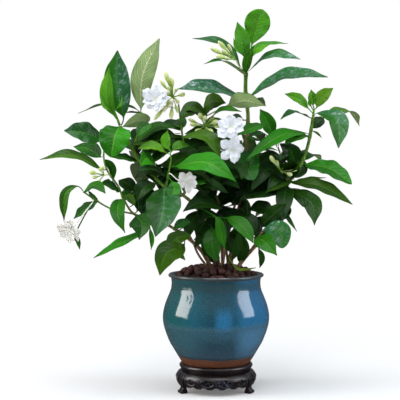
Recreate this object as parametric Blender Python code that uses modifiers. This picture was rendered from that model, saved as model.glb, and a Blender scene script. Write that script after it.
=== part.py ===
# Potted crepe jasmine: a shrub with glossy paired leaves and double white
# flowers, in a glazed ball-shaped pot on a low carved wooden stand.
# Z is up, the floor is at z = 0 and the pot's axis is the Z axis. The front is
# at -Y. Lengths are in millimetres, and place() and cutter() make them metres.
import math

import bmesh
import bpy
from mathutils import Matrix, Vector

MM = 0.001
GAP = 0.3                  # clearance between neighbouring pieces
MERGE = 0.0001             # largest distance between corners that are made one

# Pot
POT_FOOT_Z = 39.6          # height at which the pot stands on its board
POT_OUTSIDE = ((79.4, 190.5), (78.6, 188.2), (75.4, 186.6), (74.0, 180.0), (74.2, 173.0),
               (76.0, 164.3), (84.8, 142.0), (88.5, 123.0), (86.5, 105.3), (78.5, 83.0),
               (70.5, 68.7), (57.7, 48.0), (50.5, 41.2), (48.5, POT_FOOT_Z))
POT_FLOOR_Z = 47.0
POT_INSIDE = ((46.0, POT_FLOOR_Z), (51.5, 50.0), (66.0, 69.5), (73.5, 83.8), (81.4, 105.8), (83.4, 122.8),
              (79.9, 140.8), (71.4, 163.0), (69.6, 173.0), (69.4, 182.0), (72.6, 189.0))
POT_LIP_TOP = ((75.0, 192.6), (78.0, 192.4))
TURNED_STEPS = 32

# Planting
SOIL_TOP_Z = 176.0
MOUND_EDGE_R = 68.6
MOUND_EDGE_Z = 190.5
MOUND_TOP_Z = 208.0
MOUND_SWELL = 4.0          # power of the fall of the mound from its top to its edge
PELLET_PITCH = 11.5        # spacing of the clay pellets that form the mound
PELLET_SLANT = math.radians(60)
PELLET_RISE = 3.0
MOUND_RINGS = 9
MOUND_MIDDLE = 0.6         # radius of the flat middle, in widths of a ring
MOUND_STEPS = 36
STEM_CLEAR = 0.5           # round a stem where it rises through the pellets
HOLE_STEPS = 6             # steps of a stem's run that its hole follows

# Stand
BOARD_SEAT_Z = POT_FOOT_Z - GAP
BOARD_SEAT_R = 52.0
HUB_R = 54.0               # round block inside the aprons
HUB_BOTTOM_Z = 22.0
COLLAR_BORE_R = 50.0       # inside of the ring that hangs from the block behind the aprons
COLLAR_BOTTOM_Z = 12.5
BOARD_OUTSIDE = ((53.4, 43.4), (55.6, 45.0), (59.0, 44.4), (60.9, 41.4), (59.6, 38.2),
                 (57.6, 37.2), (57.6, 33.9), (HUB_R, 33.6))
LEG_COUNT = 3
LEG_WIDTH = 14.0
LEG_OUTLINE = ((54.4, 33.0), (58.6, 33.4), (63.6, 30.0), (66.8, 24.0), (66.6, 16.0),
               (64.0, 9.0), (66.2, 5.8), (68.6, 5.0), (69.2, 2.0), (67.6, 0.0),
               (57.4, 0.0), (56.6, 3.0), (58.2, 8.0), (58.6, 15.0), (54.4, 20.5))
APRON_OUTSIDE = ((58.4, 33.2), (63.2, 30.2), (66.5, 24.0), (65.4, 17.0), (63.0, 11.5))
APRON_WALL = 6.0
APRON_STEPS = 14
FRONT = -90.0              # direction of the front, in degrees from +X
APRON_HOLE_Z = 21.2
# Oval piercings: angle from the apron's middle, half width, half height.
APRON_HOLES = ((-38.5, 9.2, 4.4), (-13.0, 10.6, 5.2), (13.0, 10.6, 5.2), (38.5, 9.2, 4.4))
APRON_ARCH_Z = 10.6
APRON_ARCH_ANGLES = (-36.0, -18.0, 0.0, 18.0, 36.0)
APRON_ARCH = (6.0, 3.6)    # half width and half height of the scallops of the lower edge
PIERCING_R = 62.0          # radius at which the rods that pierce an apron are centred
PIERCING_LENGTH = 30.0
PIERCING_SIDES = 10

# The shrub is laid out as it is seen from the front: columns to the right and
# rows down on a 400 by 400 sheet, with the depth in millimetres behind the
# pot's axis. A place keeps its line of sight as it moves in depth.
SHEET_STEP = 5.0 / 3.0     # millimetres of real size to one step of the sheet
AXIS_COLUMN = 216.0
FLOOR_ROW = 388.8
EYE_DISTANCE = 1583.3
EYE_HEIGHT = 348.0

LEAF_THICK = 0.9
PETIOLE_HALF = 1.0
LEAF_TIP_HALF = 0.6
LEAF_ROUNDNESS = 0.85      # power of the outline: lower is fuller near the base
LEAF_ROWS = 6
LEAF_FOLD = 0.20           # rise of a blade's edge, as a share of its half width
TWIG_CLEAR = 0.45          # from a twig's round to the end of what grows on it
STUB_CLEAR = 0.9           # from the end of a stem to the young tip that carries it on
NEAR_TWIG = 2.0            # within this of the twig, a base gives no direction
STALK_R = 0.9
STUB_TAPER = 0.72          # radius of a young tip's stub at its top, as a share of that at its foot
TIP_LEAF_ROWS = 5
CORE_R = 2.4               # heart of a flower, which the petals spring from
CORE_RISE = 1.44           # height of the heart in front of the inner whorl
HEART_SHARE = 0.12         # flat middle of a whorl, as a share of its radius
LOBE_DEPTH = 0.22          # depth of the notches between petals
RUFFLE = 0.1               # rise and fall of the petals' edges
PETALS = 5
INNER_WHORL = 0.62         # size of a flower's inner whorl
OUTER_CUP = 0.15           # forward bend of the whorls, as a share of their radius
INNER_CUP = 0.45
KNOT_R = 1.9               # knot at the end of a stalk, from which the buds part
# Shares of a bud's length, and of its radius there.
BUD_SHAPE = ((0.0, 0.3), (0.3, 0.26), (0.5, 0.28), (0.62, 0.5), (0.74, 0.94), (0.85, 1.0),
             (0.94, 0.78), (1.0, 0.36))

# Stems: each is a main run and its branches, as (column, row, depth, radius).
STEMS = {
    "stem_left": (
        ((213, 286, -6, 4.2), (209.5, 266, -8, 4.0), (206, 258, -12, 3.6), (199, 248, -22, 3.2),
         (185, 236, -38, 2.8), (166, 224, -55, 2.4), (150, 217.5, -66, 2.1), (134, 214, -74, 1.9),
         (124, 200, -80, 1.7), (118, 186, -80, 1.6), (108, 172, -76, 1.5), (104, 160, -68, 1.3),
         (104, 144, -60, 1.2)),
        ((134, 214, -74, 1.5), (112, 209, -95, 1.4), (97, 201, -108, 1.3), (83, 191.5, -117, 1.1)),
    ),
    "stem_centre": (
        ((219, 286, 8, 3.6), (218, 262, 6, 3.4), (213, 236, -6, 3.1), (200, 212, -30, 2.8),
         (184, 196, -55, 2.5), (166, 188, -75, 2.2), (152, 174, -72, 2.3), (139.5, 161, -62, 2.4),
         (133, 150, -58, 2.5), (128, 140, -60, 2.5), (120, 126, -64, 2.3)),
        ((133, 150, -58, 1.4), (138, 132, -46, 1.3), (140.5, 115, -35, 1.2)),
        ((184, 196, -55, 2.0), (186, 170, -50, 1.8), (184, 148, -45, 1.6), (181, 125, -42, 1.4),
         (178.5, 104, -42, 1.2)),
        ((166, 188, -75, 1.7), (168, 176, -90, 1.6), (171, 160, -88, 1.3)),
    ),
    "stem_middle": (
        ((223.5, 286, 17, 3.0), (222.5, 262, 17, 2.9), (221, 230, 8, 2.6), (219, 205, 0, 2.3),
         (213, 190, -8, 2.1), (205, 176, -14, 1.9), (204, 152, -18, 1.7), (207, 130, -24, 1.5),
         (206, 116, -20, 1.3)),
    ),
    "stem_tall": (
        ((230, 286, 26, 4.0), (231, 262, 26, 3.9), (234, 235, 26, 3.7), (240, 205, 26, 3.5),
         (245, 170, 20, 3.3), (246, 152, 16, 3.3), (248, 120, 10, 3.3), (247, 105, 8, 3.4),
         (245.5, 90, 6, 3.5), (246, 72, 4, 3.2)),
    ),
    "stem_right": (
        ((226, 286, -30, 3.4), (240, 264, -30, 3.2), (255, 246, -24, 3.2), (263, 235, -16, 3.1),
         (275, 215, 0, 3.1), (284, 196, 8, 3.0), (288, 183, 12, 3.0), (297, 172, 24, 3.0),
         (303, 160, 34, 3.0), (308, 145, 44, 2.9), (311, 130, 52, 2.8), (313, 117, 58, 2.5)),
        ((288, 183, 12, 1.6), (284, 172, 4, 1.4), (281, 157, 10, 1.3), (278, 147, 18, 1.1)),
        ((255, 246, -24, 1.6), (256, 240, -42, 1.4), (262, 232, -56, 1.2)),
    ),
    "shoot_back": (
        ((221, 286, 38, 3.0), (223, 262, 44, 2.8), (228, 230, 66, 2.6), (236, 200, 84, 2.4),
         (240, 170, 98, 2.1), (236, 140, 108, 1.7), (232, 124, 112, 1.3)),
    ),
}

# Leaves: base, middle and tip of the midrib as (column, row, depth), the width
# of the blade, and its lean: 0 faces up, 90 faces the front, below 0 shows
# the underside to the front.
LEAVES = {
    "leaf_far_left": ((101, 169, -84), (72, 155, -96), (39.5, 159.5, -108), 28, 30),
    "leaf_left_dark": ((101, 140, -62), (85, 133, -76), (63, 130.5, -90), 38, 60),
    "leaf_left_curled": ((100, 157, -56), (88, 149, -42), (73, 146.5, -32), 32, 45),
    "leaf_left_front": ((119, 127, -80), (114.5, 138, -105), (111, 157.5, -112), 50, 80),
    "leaf_left_upright": ((123.5, 116, -54), (117, 85, -50), (117.5, 48.5, -42), 44, 75),
    "leaf_pale_upright": ((141, 108, -34), (142.5, 76, -36), (160.5, 36.5, -24), 38, -75),
    "leaf_left_thin": ((136, 109, -34), (108, 104, -20), (76, 114, -16), 28, 14),
    "leaf_low_left_long": ((147, 230, -70), (122, 242.5, -84), (92, 258.7, -92), 24, 25),
    "leaf_low_left_front": ((119, 199, -100), (117.5, 214, -140), (125, 233, -152), 24, 75),
    "leaf_low_left_broad": ((136, 216, -86), (142, 225, -112), (139, 240, -118), 38, 80),
    "leaf_low_left_drooping": ((77, 186, -124), (65, 194, -134), (64, 221.5, -140), 15, 35),
    "leaf_front_broad": ((164, 188, -112), (163, 212, -165), (155, 238, -198), 54, 80),
    "leaf_centre_bright": ((177, 166, -104), (207, 163, -138), (236.5, 181.5, -148), 40, 50),
    "leaf_rim_left": ((184, 245, -62), (166, 254, -96), (159.5, 276.5, -106), 38, 72),
    "leaf_top_left": ((240, 66, 10), (224, 44, 6), (192.3, 38.3, -4), 30, 27),
    "leaf_top_right": ((251, 69, -4), (272, 55, -30), (302, 59.5, -45), 34, 35),
    "leaf_middle_right": ((252, 95, 16), (287, 75.5, 0), (330.4, 77.2, -20), 48, 30),
    "leaf_middle_left": ((238, 95, -14), (208, 88, -55), (177, 89, -80), 50, 40),
    "leaf_middle_pale": ((229, 105, -44), (246, 101, -75), (266.3, 106, -85), 32, -62),
    "leaf_right_drooping": ((318, 113, 48), (338, 120, 20), (338.4, 149.5, -10), 34, 60),
    "leaf_right_far": ((324, 116, 86), (349, 111, 148), (359.5, 126, 200), 32, 30),
    "leaf_right_long": ((305, 133, 41), (280, 136, -8), (246, 159.5, -52), 28, 50),
    "leaf_centre_blue": ((253, 152, -14), (247, 165, -28), (253.6, 181, -42), 42, 80),
    "leaf_right_upright": ((273, 136, 29), (268, 123, 24), (259.7, 108.4, 26), 26, 70),
    "leaf_right_low": ((305.5, 164.5, 25), (330, 169, 0), (351.8, 184.3, -20), 36, 45),
    "leaf_right_olive": ((292, 182.5, 4), (322, 187, -12), (354.3, 205.5, -20), 34, 35),
    "leaf_right_hanging": ((291, 191, -4), (312, 204, -32), (314.5, 225.3, -60), 33, 60),
    "leaf_low_right_silver": ((266, 228, -58), (281, 234, -80), (283, 249, -98), 38, 75),
    "leaf_low_right": ((258, 237, -66), (266, 243, -94), (277.2, 255.6, -108), 30, 70),
    "leaf_low_dark": ((262, 226, -30), (273, 215, -46), (287, 203, -60), 30, 60),
}

# Leaves that are one growth with the back shoot.
BACK_LEAVES = (
    ((234, 150, 112), (221, 148, 150), (206, 160, 188), 38, 20),
    ((240, 160, 108), (252, 162, 150), (268, 174, 192), 38, 20),
    ((232, 194, 96), (218, 188, 140), (202, 192, 182), 40, 15),
    ((240, 181, 98), (254, 180, 140), (272, 188, 186), 40, 15),
    ((233, 128, 114), (226, 122, 140), (219, 128, 176), 30, 20),
    ((228, 226, 76), (216, 222, 110), (204, 232, 150), 36, 15),
)

# Young tips: the end of a stub that carries on a stem, and the small leaves round
# it, each with the share of the stub's length at which it starts.
TIPS = {
    "tip_left": ((114, 110, -70), (
        (0.4, (114, 115, -72), (106.5, 96, -80), (109, 68, -74), 22, 65),
        (0.7, (111, 110, -78), (104, 104, -88), (101, 93, -92), 11, 60),
        (0.9, (117, 108, -76), (122, 103, -86), (121.5, 95, -88), 8, 60),
    )),
    "tip_tall": ((250, 54, 2), (
        (0.35, (245.5, 57, -4), (242, 40, -16), (237, 21, -20), 26, 60),
        (0.55, (251, 56, -8), (259, 50, -22), (270, 44, -28), 20, 50),
        (0.45, (243, 55, 12), (237, 48, 20), (233.5, 38, 24), 10, 50),
        (0.85, (252, 50, 20), (268, 44, 44), (288.5, 43.5, 52), 24, 25),
        (1.0, (252, 44, 4), (257, 25, -5), (263, 8.5, -16), 44, 78),
    )),
    "tip_right": ((314.2, 108, 62), (
        (0.3, (308, 108, 54), (299, 99, 47), (284, 93.5, 42), 20, 60),
        (0.6, (311, 106, 52), (309, 102, 47), (311, 98, 44), 8, 60),
        (0.95, (313, 105, 60), (312.5, 99, 58), (311, 89.3, 56), 16, 70),
        (0.8, (317, 107, 64), (322, 97, 65), (333.7, 87.6, 62), 24, 60),
    )),
    "tip_centre": ((170, 150, -84), (
        (1.0, (169, 149, -82), (165.5, 141, -80), (167.5, 130.5, -76), 16, 80),
        (0.5, (165, 152, -90), (153, 146, -94), (137, 149, -98), 24, 35),
        (0.7, (173, 150, -78), (180, 145, -70), (190, 146, -64), 18, 50),
    )),
}

# Flowers: the stalk's run, then the corolla's centre, its facing and radius.
FLOWERS = {
    "flower_left": (((176, 108, -50), (166, 106, -58)), (156, 99, -74), (-0.2, -0.9, 0.2), 24),
    "flower_upper": (((210, 131, -34), (222, 136, -58)), (230, 127, -84), (0.1, -0.9, 0.3), 24),
    "flower_lower": (((209, 139, -36), (222, 151, -60)), (232, 150, -92), (0.2, -0.9, -0.1), 23),
    "flower_low_left": (((92, 203, -116), (82, 216, -128)), (70, 231, -140), (-0.3, -0.8, -0.5), 21),
    "flower_shaded": (((171, 174, -98), (178, 180, -104)), (187, 182, -114), (0.3, -0.9, -0.3), 17),
}

# Bud clusters: the stalk's run, then each bud as base and tip with its radius.
BUDS = {
    "buds_left": (((110, 175, -92), (104, 175, -104)), (
        ((104, 175, -104), (89, 172, -112), 3.9),
        ((104, 175, -104), (96, 185, -114), 3.3),
        ((104, 175, -104), (102, 166, -112), 3.1),
    )),
    "buds_upper_left": (((177, 100, -50), (173, 97, -56)), (
        ((173, 97, -56), (165, 71, -62), 4.1),
        ((173, 97, -56), (171, 119, -66), 3.7),
        ((173, 97, -56), (185, 94, -70), 3.7),
        ((173, 97, -56), (154, 120, -76), 3.5),
    )),
    "buds_top": (((241, 70, -8), (236, 60, -20)), (
        ((236, 60, -20), (218, 41, -44), 3.9),
        ((236, 60, -20), (210, 48, -50), 3.9),
        ((236, 60, -20), (216, 56, -54), 4.3),
    )),
    "buds_middle": (((205, 127, -32), (205, 126, -48)), (
        ((205, 126, -48), (199, 113, -60), 4.3),
        ((205, 126, -48), (190, 124, -64), 3.9),
        ((205, 126, -48), (212, 133, -66), 4.7),
        ((205, 126, -48), (218, 121, -66), 4.1),
    )),
    "buds_right": (((283, 173, -12), (281, 171, -24)), (
        ((281, 171, -24), (270, 156, -40), 3.9),
        ((281, 171, -24), (292, 175, -44), 3.7),
    )),
}

# Colour, roughness and metallic value of each material.
FINISHES = {
    "glaze": ((0.04, 0.14, 0.22), 0.12, 0.0),
    "wood": ((0.03, 0.02, 0.02), 0.35, 0.0),
    "soil": ((0.03, 0.02, 0.015), 0.95, 0.0),
    "clay": ((0.09, 0.045, 0.04), 0.85, 0.0),
    "bark": ((0.16, 0.12, 0.05), 0.7, 0.0),
    "leaf": ((0.06, 0.22, 0.03), 0.35, 0.0),
    "young_leaf": ((0.14, 0.36, 0.05), 0.4, 0.0),
    "petal": ((0.85, 0.86, 0.9), 0.6, 0.0),
    "bud": ((0.6, 0.66, 0.25), 0.5, 0.0),
}


def clear_scene():
    for thing in list(bpy.data.objects):
        bpy.data.objects.remove(thing, do_unlink=True)


def new_collection(name):
    made = bpy.data.collections.new(name)
    bpy.context.scene.collection.children.link(made)
    return made


def finish(name):
    """Return the named material, made the first time it is asked for."""
    known = bpy.data.materials.get(name)
    if known:
        return known
    colour, roughness, metallic = FINISHES[name]
    made = bpy.data.materials.new(name)
    made.use_nodes = True
    shader = made.node_tree.nodes["Principled BSDF"]
    shader.inputs["Base Color"].default_value = (*colour, 1.0)
    shader.inputs["Roughness"].default_value = roughness
    shader.inputs["Metallic"].default_value = metallic
    made.diffuse_color = (*colour, 1.0)
    return made


def place(name, mesh, material, scaled=True):
    """Put a mesh in the scene as the piece of that name."""
    if scaled:
        mesh.transform(Matrix.Scale(MM, 4))
    piece = bpy.data.objects.new(name, mesh)
    PIECES.objects.link(piece)
    mesh.materials.clear()
    mesh.materials.append(finish(material))
    return piece


def cutter(name, mesh):
    mesh.transform(Matrix.Scale(MM, 4))
    tool = bpy.data.objects.new(name, mesh)
    CUTTERS.objects.link(tool)
    tool.hide_render = True
    tool.display_type = "WIRE"
    return tool


def carve(piece, tool, operation="DIFFERENCE"):
    step = piece.modifiers.new(operation.title() + " " + tool.name, "BOOLEAN")
    step.operation = operation
    step.object = tool


def mesh_of(name, work):
    made = bpy.data.meshes.new(name)
    bmesh.ops.recalc_face_normals(work, faces=work.faces)
    work.to_mesh(made)
    work.free()
    return made


def turned(name, profile, material):
    """Turn a (radius, height) profile, from the axis back to the axis, round Z."""
    mesh = bpy.data.meshes.new(name)
    corners = [(radius * MM, 0.0, height * MM) for radius, height in profile]
    edges = [(i, i + 1) for i in range(len(corners) - 1)]
    mesh.from_pydata(corners, edges, [])
    piece = place(name, mesh, material, scaled=False)
    screw = piece.modifiers.new("Turn", "SCREW")
    screw.steps = TURNED_STEPS
    screw.render_steps = TURNED_STEPS
    screw.use_merge_vertices = True
    screw.merge_threshold = 0.00001
    return piece


def sight(column, row, depth):
    """Place of a point of the front view at the given depth, in millimetres."""
    reach = (EYE_DISTANCE + depth) / EYE_DISTANCE
    across = (column - AXIS_COLUMN) * SHEET_STEP
    up = (FLOOR_ROW - row) * SHEET_STEP
    return Vector((across * reach, depth, EYE_HEIGHT + (up - EYE_HEIGHT) * reach))


def smooth_run(points, steps):
    """Points along a smooth curve through the given points."""
    run = []
    last = len(points) - 1
    for i in range(last):
        before = points[max(i - 1, 0)]
        after = points[min(i + 2, last)]
        for step in range(steps):
            t = step / steps
            a = points[i]
            b = points[i + 1]
            lift_a = (b - before) * 0.5
            lift_b = (after - a) * 0.5
            run.append(a * (2 * t**3 - 3 * t**2 + 1) + lift_a * (t**3 - 2 * t**2 + t)
                       + b * (3 * t**2 - 2 * t**3) + lift_b * (t**3 - t**2))
    run.append(points[last])
    return run


def solid_of(curve):
    """Closed mesh of a curve, as work in progress."""
    guide = bpy.data.objects.new(curve.name, curve)
    CUTTERS.objects.link(guide)
    bpy.context.view_layer.update()
    seen = guide.evaluated_get(bpy.context.evaluated_depsgraph_get())
    mesh = bpy.data.meshes.new_from_object(seen)
    bpy.data.objects.remove(guide)
    work = bmesh.new()
    work.from_mesh(mesh)
    bmesh.ops.remove_doubles(work, verts=work.verts, dist=MERGE)
    return work


def tube(points, radii, sides=2):
    """Mesh of a round rod through the points, with flat ends."""
    curve = bpy.data.curves.new("rod", "CURVE")
    curve.dimensions = "3D"
    curve.bevel_depth = 1.0
    curve.bevel_resolution = sides
    curve.use_fill_caps = True
    spline = curve.splines.new("POLY")
    spline.points.add(len(points) - 1)
    for knot, point, radius in zip(spline.points, points, radii):
        knot.co = (*point, 1.0)
        knot.radius = radius
    return mesh_of("rod", solid_of(curve))


def grown(name, meshes, material):
    """One piece from closed meshes that grow into each other."""
    first, *rest = meshes
    piece = place(name, first, material)
    for number, mesh in enumerate(rest, 1):
        carve(piece, cutter(f"{name}_growth_{number}", mesh), "UNION")
    return piece


def stem_runs(branches):
    """Smooth centre lines of a stem's branches, each with its radii."""
    runs = []
    for branch in branches:
        knots = [Vector((*sight(column, row, depth), radius)) for column, row, depth, radius in branch]
        runs.append([(Vector(knot[:3]), knot[3]) for knot in smooth_run(knots, 2)])
    return runs


def nearest_twig(point, stems):
    """Point of the named stems' centre lines where their bark is nearest, after the
    distance to the bark, and before the radius and direction there."""
    best = None
    for name in stems:
        for run in RUNS[name]:
            for (a, radius_a), (b, radius_b) in zip(run, run[1:]):
                along = b - a
                share = max(0.0, min(1.0, (point - a).dot(along) / along.length_squared))
                near = a + along * share
                radius = radius_a + (radius_b - radius_a) * share
                distance = (point - near).length - radius
                if best is None or distance < best[0]:
                    best = (distance, near, radius, along)
    return best


def seat(base, toward):
    """Start, just clear of the nearest twig, of something that grows from it."""
    distance, near, radius, along = nearest_twig(base, RUNS)
    out = base - near if distance > NEAR_TWIG else toward - near
    out = out - along * (out.dot(along) / along.length_squared)
    return near + out.normalized() * (radius + TWIG_CLEAR)


def stem_end(point):
    """End of the stem or branch that ends nearest to the point, and its radius."""
    ends = [run[-1] for runs in RUNS.values() for run in runs]
    return min(ends, key=lambda end: (end[0] - point).length)


def flat_foot(mesh):
    """Cut a stem off flat, just above the soil that it stands in."""
    work = bmesh.new()
    work.from_mesh(mesh)
    everything = work.verts[:] + work.edges[:] + work.faces[:]
    bmesh.ops.bisect_plane(work, geom=everything, plane_co=(0, 0, SOIL_TOP_Z + GAP),
                           plane_no=(0, 0, 1), clear_inner=True)
    bmesh.ops.holes_fill(work, edges=[edge for edge in work.edges if edge.is_boundary])
    return mesh_of("stem", work)


def blade_half_width(share, width):
    """Half width at a share of the blade's length: an ellipse with a drip tip."""
    swell = math.sin(math.pi * share**LEAF_ROUNDNESS) ** LEAF_ROUNDNESS
    return max(LEAF_TIP_HALF, width / 2 * swell)


def walk(run, distance):
    """Point and direction at a distance along a run of points."""
    for a, b in zip(run, run[1:]):
        step = (b - a).length
        if distance <= step:
            break
        distance -= step
    return a.lerp(b, min(distance / step, 1.0)), (b - a).normalized()


def length_of(run):
    return sum((b - a).length for a, b in zip(run, run[1:]))


def blade_normals(directions, lean):
    """Directions that the blade's upper side faces, row by row. The middle row
    has the given lean, and the others follow the bend of the midrib from it."""
    turn = math.radians(lean)
    facing = Vector((0.0, -math.sin(turn), math.cos(turn)))
    middle = len(directions) // 2
    normals = {}
    for order in (range(middle, len(directions)), range(middle, -1, -1)):
        normal = facing
        for row in order:
            along = directions[row]
            normal = (normal - along * normal.dot(along)).normalized()
            normals[row] = normal
    return normals


def leaf_mesh(points, width, lean, rows=LEAF_ROWS):
    """Closed mesh of a thin leaf: a stalk from the first point to the second,
    then a blade along the other points, folded a little along its midrib."""
    run = smooth_run(points, 6)
    total = length_of(run)
    stalk = (points[1] - points[0]).length / total
    shares = [0.0, *(row / (rows - 1) for row in range(rows))]
    reaches = [0.0, *(stalk + (1.0 - stalk) * share for share in shares[1:])]
    spine = [walk(run, reach * total) for reach in reaches]
    normals = blade_normals([along for _, along in spine], lean)
    work = bmesh.new()
    bmesh.ops.create_grid(work, x_segments=2, y_segments=rows, size=1.0)
    for vertex in work.verts:
        side = vertex.co.x
        row = round((vertex.co.y + 1.0) / 2 * rows)
        half = PETIOLE_HALF if row < 2 else blade_half_width(shares[row], width)
        middle, along = spine[row]
        across = along.cross(normals[row])
        rise = abs(side) * LEAF_FOLD * half
        vertex.co = middle + across * side * half + normals[row] * rise
    bmesh.ops.recalc_face_normals(work, faces=work.faces)
    bmesh.ops.solidify(work, geom=work.faces[:], thickness=LEAF_THICK)
    return mesh_of("blade", work)


def corolla_mesh(centre, facing, radius, cup):
    """Closed mesh of one ruffled whorl of petals."""
    rings = 2
    steps = PETALS * 3
    heart = HEART_SHARE * radius
    work = bmesh.new()
    bmesh.ops.create_circle(work, cap_ends=True, segments=steps, radius=heart)
    rim = work.edges[:]
    for ring in range(1, rings + 1):
        wider = bmesh.ops.extrude_edge_only(work, edges=rim)["geom"]
        rim = [part for part in wider if isinstance(part, bmesh.types.BMEdge)]
        share = ring / rings
        for corner in (part for part in wider if isinstance(part, bmesh.types.BMVert)):
            angle = math.atan2(corner.co.y, corner.co.x)
            lobe = 1.0 - LOBE_DEPTH * (1.0 - abs(math.cos(angle * PETALS / 2)))
            reach = heart + (radius - heart) * share * lobe
            ruffle = RUFFLE * radius * share * math.sin(angle * PETALS)
            corner.co = (reach * math.cos(angle), reach * math.sin(angle),
                         cup * radius * share * share + ruffle)
    bmesh.ops.recalc_face_normals(work, faces=work.faces)
    bmesh.ops.solidify(work, geom=work.faces[:], thickness=LEAF_THICK)
    look = Vector(facing).normalized().to_track_quat("Z", "Y").to_matrix().to_4x4()
    bmesh.ops.transform(work, matrix=Matrix.Translation(centre) @ look, verts=work.verts)
    return mesh_of("whorl", work)


def bud_mesh(base, tip, radius):
    """Slender tube of a bud and its swollen, twisted end."""
    points = [base.lerp(tip, reach) for reach, _ in BUD_SHAPE]
    return tube(points, [radius * swell for _, swell in BUD_SHAPE], 1)


def make_pot():
    profile = [(0.0, POT_FLOOR_Z), *POT_INSIDE, *POT_LIP_TOP, *POT_OUTSIDE, (0.0, POT_FOOT_Z)]
    turned("pot", profile, "glaze")


def make_soil():
    """Root ball that fills the pot up to the pellets."""
    wall = [(radius - GAP, height + GAP) for radius, height in POT_INSIDE if height < SOIL_TOP_Z]
    top = (wall[-1][0] - GAP, SOIL_TOP_Z)
    turned("root_ball", [(0.0, SOIL_TOP_Z), top, *reversed(wall), (0.0, POT_FLOOR_Z + GAP)],
           "soil")


def mound_height(x, y):
    """Height of the pellet mound: a low dome with a bump for each pellet."""
    radius = math.hypot(x, y)
    share = min(radius / MOUND_EDGE_R, 1.0)
    dome = MOUND_EDGE_Z + (MOUND_TOP_Z - MOUND_EDGE_Z) * (1 - share**MOUND_SWELL)
    wave = 2 * math.pi / PELLET_PITCH
    slant = math.cos(PELLET_SLANT) * x + math.sin(PELLET_SLANT) * y
    return dome + PELLET_RISE * (math.cos(wave * x) * math.cos(wave * slant) - 1.0) / 2


def make_pellets():
    """Bed of clay pellets, with a hole for each stem that rises through it."""
    work = bmesh.new()
    bmesh.ops.create_circle(work, cap_ends=True, segments=MOUND_STEPS, radius=1.0)
    rim = work.edges[:]
    bottom = work.verts[:]
    for vertex in bottom:
        vertex.co = Vector((vertex.co.x * MOUND_EDGE_R, vertex.co.y * MOUND_EDGE_R,
                            SOIL_TOP_Z + GAP))
    wall_top = MOUND_EDGE_Z - PELLET_RISE
    for ring in range(MOUND_RINGS + 1):
        wider = bmesh.ops.extrude_edge_only(work, edges=rim)["geom"]
        rim = [part for part in wider if isinstance(part, bmesh.types.BMEdge)]
        share = 1.0 - ring / (MOUND_RINGS + MOUND_MIDDLE)
        for vertex in (part for part in wider if isinstance(part, bmesh.types.BMVert)):
            flat = vertex.co.xy.normalized() * MOUND_EDGE_R * share
            height = wall_top if ring == 0 else mound_height(*flat)
            vertex.co = (flat.x, flat.y, height)
    bmesh.ops.holes_fill(work, edges=[edge for edge in work.edges if edge.is_boundary])
    piece = place("clay_pellets", mesh_of("clay_pellets", work), "clay")
    for name, runs in RUNS.items():
        points = [point for point, _ in runs[0][:HOLE_STEPS]]
        radii = [radius + STEM_CLEAR for _, radius in runs[0][:HOLE_STEPS]]
        carve(piece, cutter("hole_for_" + name, tube(points, radii)))


def make_stand_top():
    seat_line = ((0.0, BOARD_SEAT_Z), (BOARD_SEAT_R, BOARD_SEAT_Z))
    hub_line = ((HUB_R, COLLAR_BOTTOM_Z), (COLLAR_BORE_R, COLLAR_BOTTOM_Z),
                (COLLAR_BORE_R, HUB_BOTTOM_Z), (0.0, HUB_BOTTOM_Z))
    turned("stand_top", (*seat_line, *BOARD_OUTSIDE, *hub_line), "wood")


def make_leg(name, angle):
    """Carved leg: its outline seen from the side, given the leg's width."""
    outline = bpy.data.curves.new(name, "CURVE")
    outline.dimensions = "2D"
    outline.fill_mode = "BOTH"
    outline.extrude = LEG_WIDTH / 2
    spline = outline.splines.new("POLY")
    spline.points.add(len(LEG_OUTLINE) - 1)
    for knot, (radius, height) in zip(spline.points, LEG_OUTLINE):
        knot.co = (radius, height, 0.0, 1.0)
    spline.use_cyclic_u = True
    work = solid_of(outline)
    upright = Matrix.Rotation(math.radians(90), 4, "X")
    swing = Matrix.Rotation(math.radians(angle), 4, "Z")
    bmesh.ops.transform(work, matrix=swing @ upright, verts=work.verts)
    place(name, mesh_of(name, work), "wood")


def oval_cutter(name, angle, height, half_width, half_height):
    """Rod with an oval section that runs outward from the axis."""
    work = bmesh.new()
    bmesh.ops.create_cone(work, cap_ends=True, segments=PIERCING_SIDES, radius1=1.0, radius2=1.0,
                          depth=PIERCING_LENGTH)
    shape = (Matrix.Rotation(math.radians(angle), 4, "Z")
             @ Matrix.Translation((PIERCING_R, 0.0, height))
             @ Matrix.Rotation(math.radians(90), 4, "Y")
             @ Matrix.Diagonal((half_height, half_width, 1.0, 1.0)))
    bmesh.ops.transform(work, matrix=shape, verts=work.verts)
    return cutter(name, mesh_of(name, work))


def make_apron(name, middle):
    """Pierced apron between two legs, with a scalloped lower edge."""
    inner_limit = HUB_R + GAP
    inside = [(max(radius - APRON_WALL, inner_limit), height)
              for radius, height in reversed(APRON_OUTSIDE)]
    leg_clear = math.degrees(math.asin((LEG_WIDTH / 2 + GAP) / inner_limit))
    half_turn = 180.0 / LEG_COUNT - leg_clear
    work = bmesh.new()
    swing = Matrix.Rotation(math.radians(middle - half_turn), 3, "Z")
    corners = [work.verts.new(swing @ Vector((radius, 0.0, height)))
               for radius, height in (*APRON_OUTSIDE, *inside)]
    work.faces.new(corners)
    bmesh.ops.spin(work, geom=work.verts[:] + work.edges[:] + work.faces[:], axis=(0, 0, 1),
                   cent=(0, 0, 0), angle=math.radians(2 * half_turn), steps=APRON_STEPS)
    piece = place(name, mesh_of(name, work), "wood")
    for angle, half_width, half_height in APRON_HOLES:
        hole = oval_cutter(f"{name}_hole", middle + angle, APRON_HOLE_Z, half_width, half_height)
        carve(piece, hole)
    for angle in APRON_ARCH_ANGLES:
        arch = oval_cutter(f"{name}_arch", middle + angle, APRON_ARCH_Z, *APRON_ARCH)
        carve(piece, arch)


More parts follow.
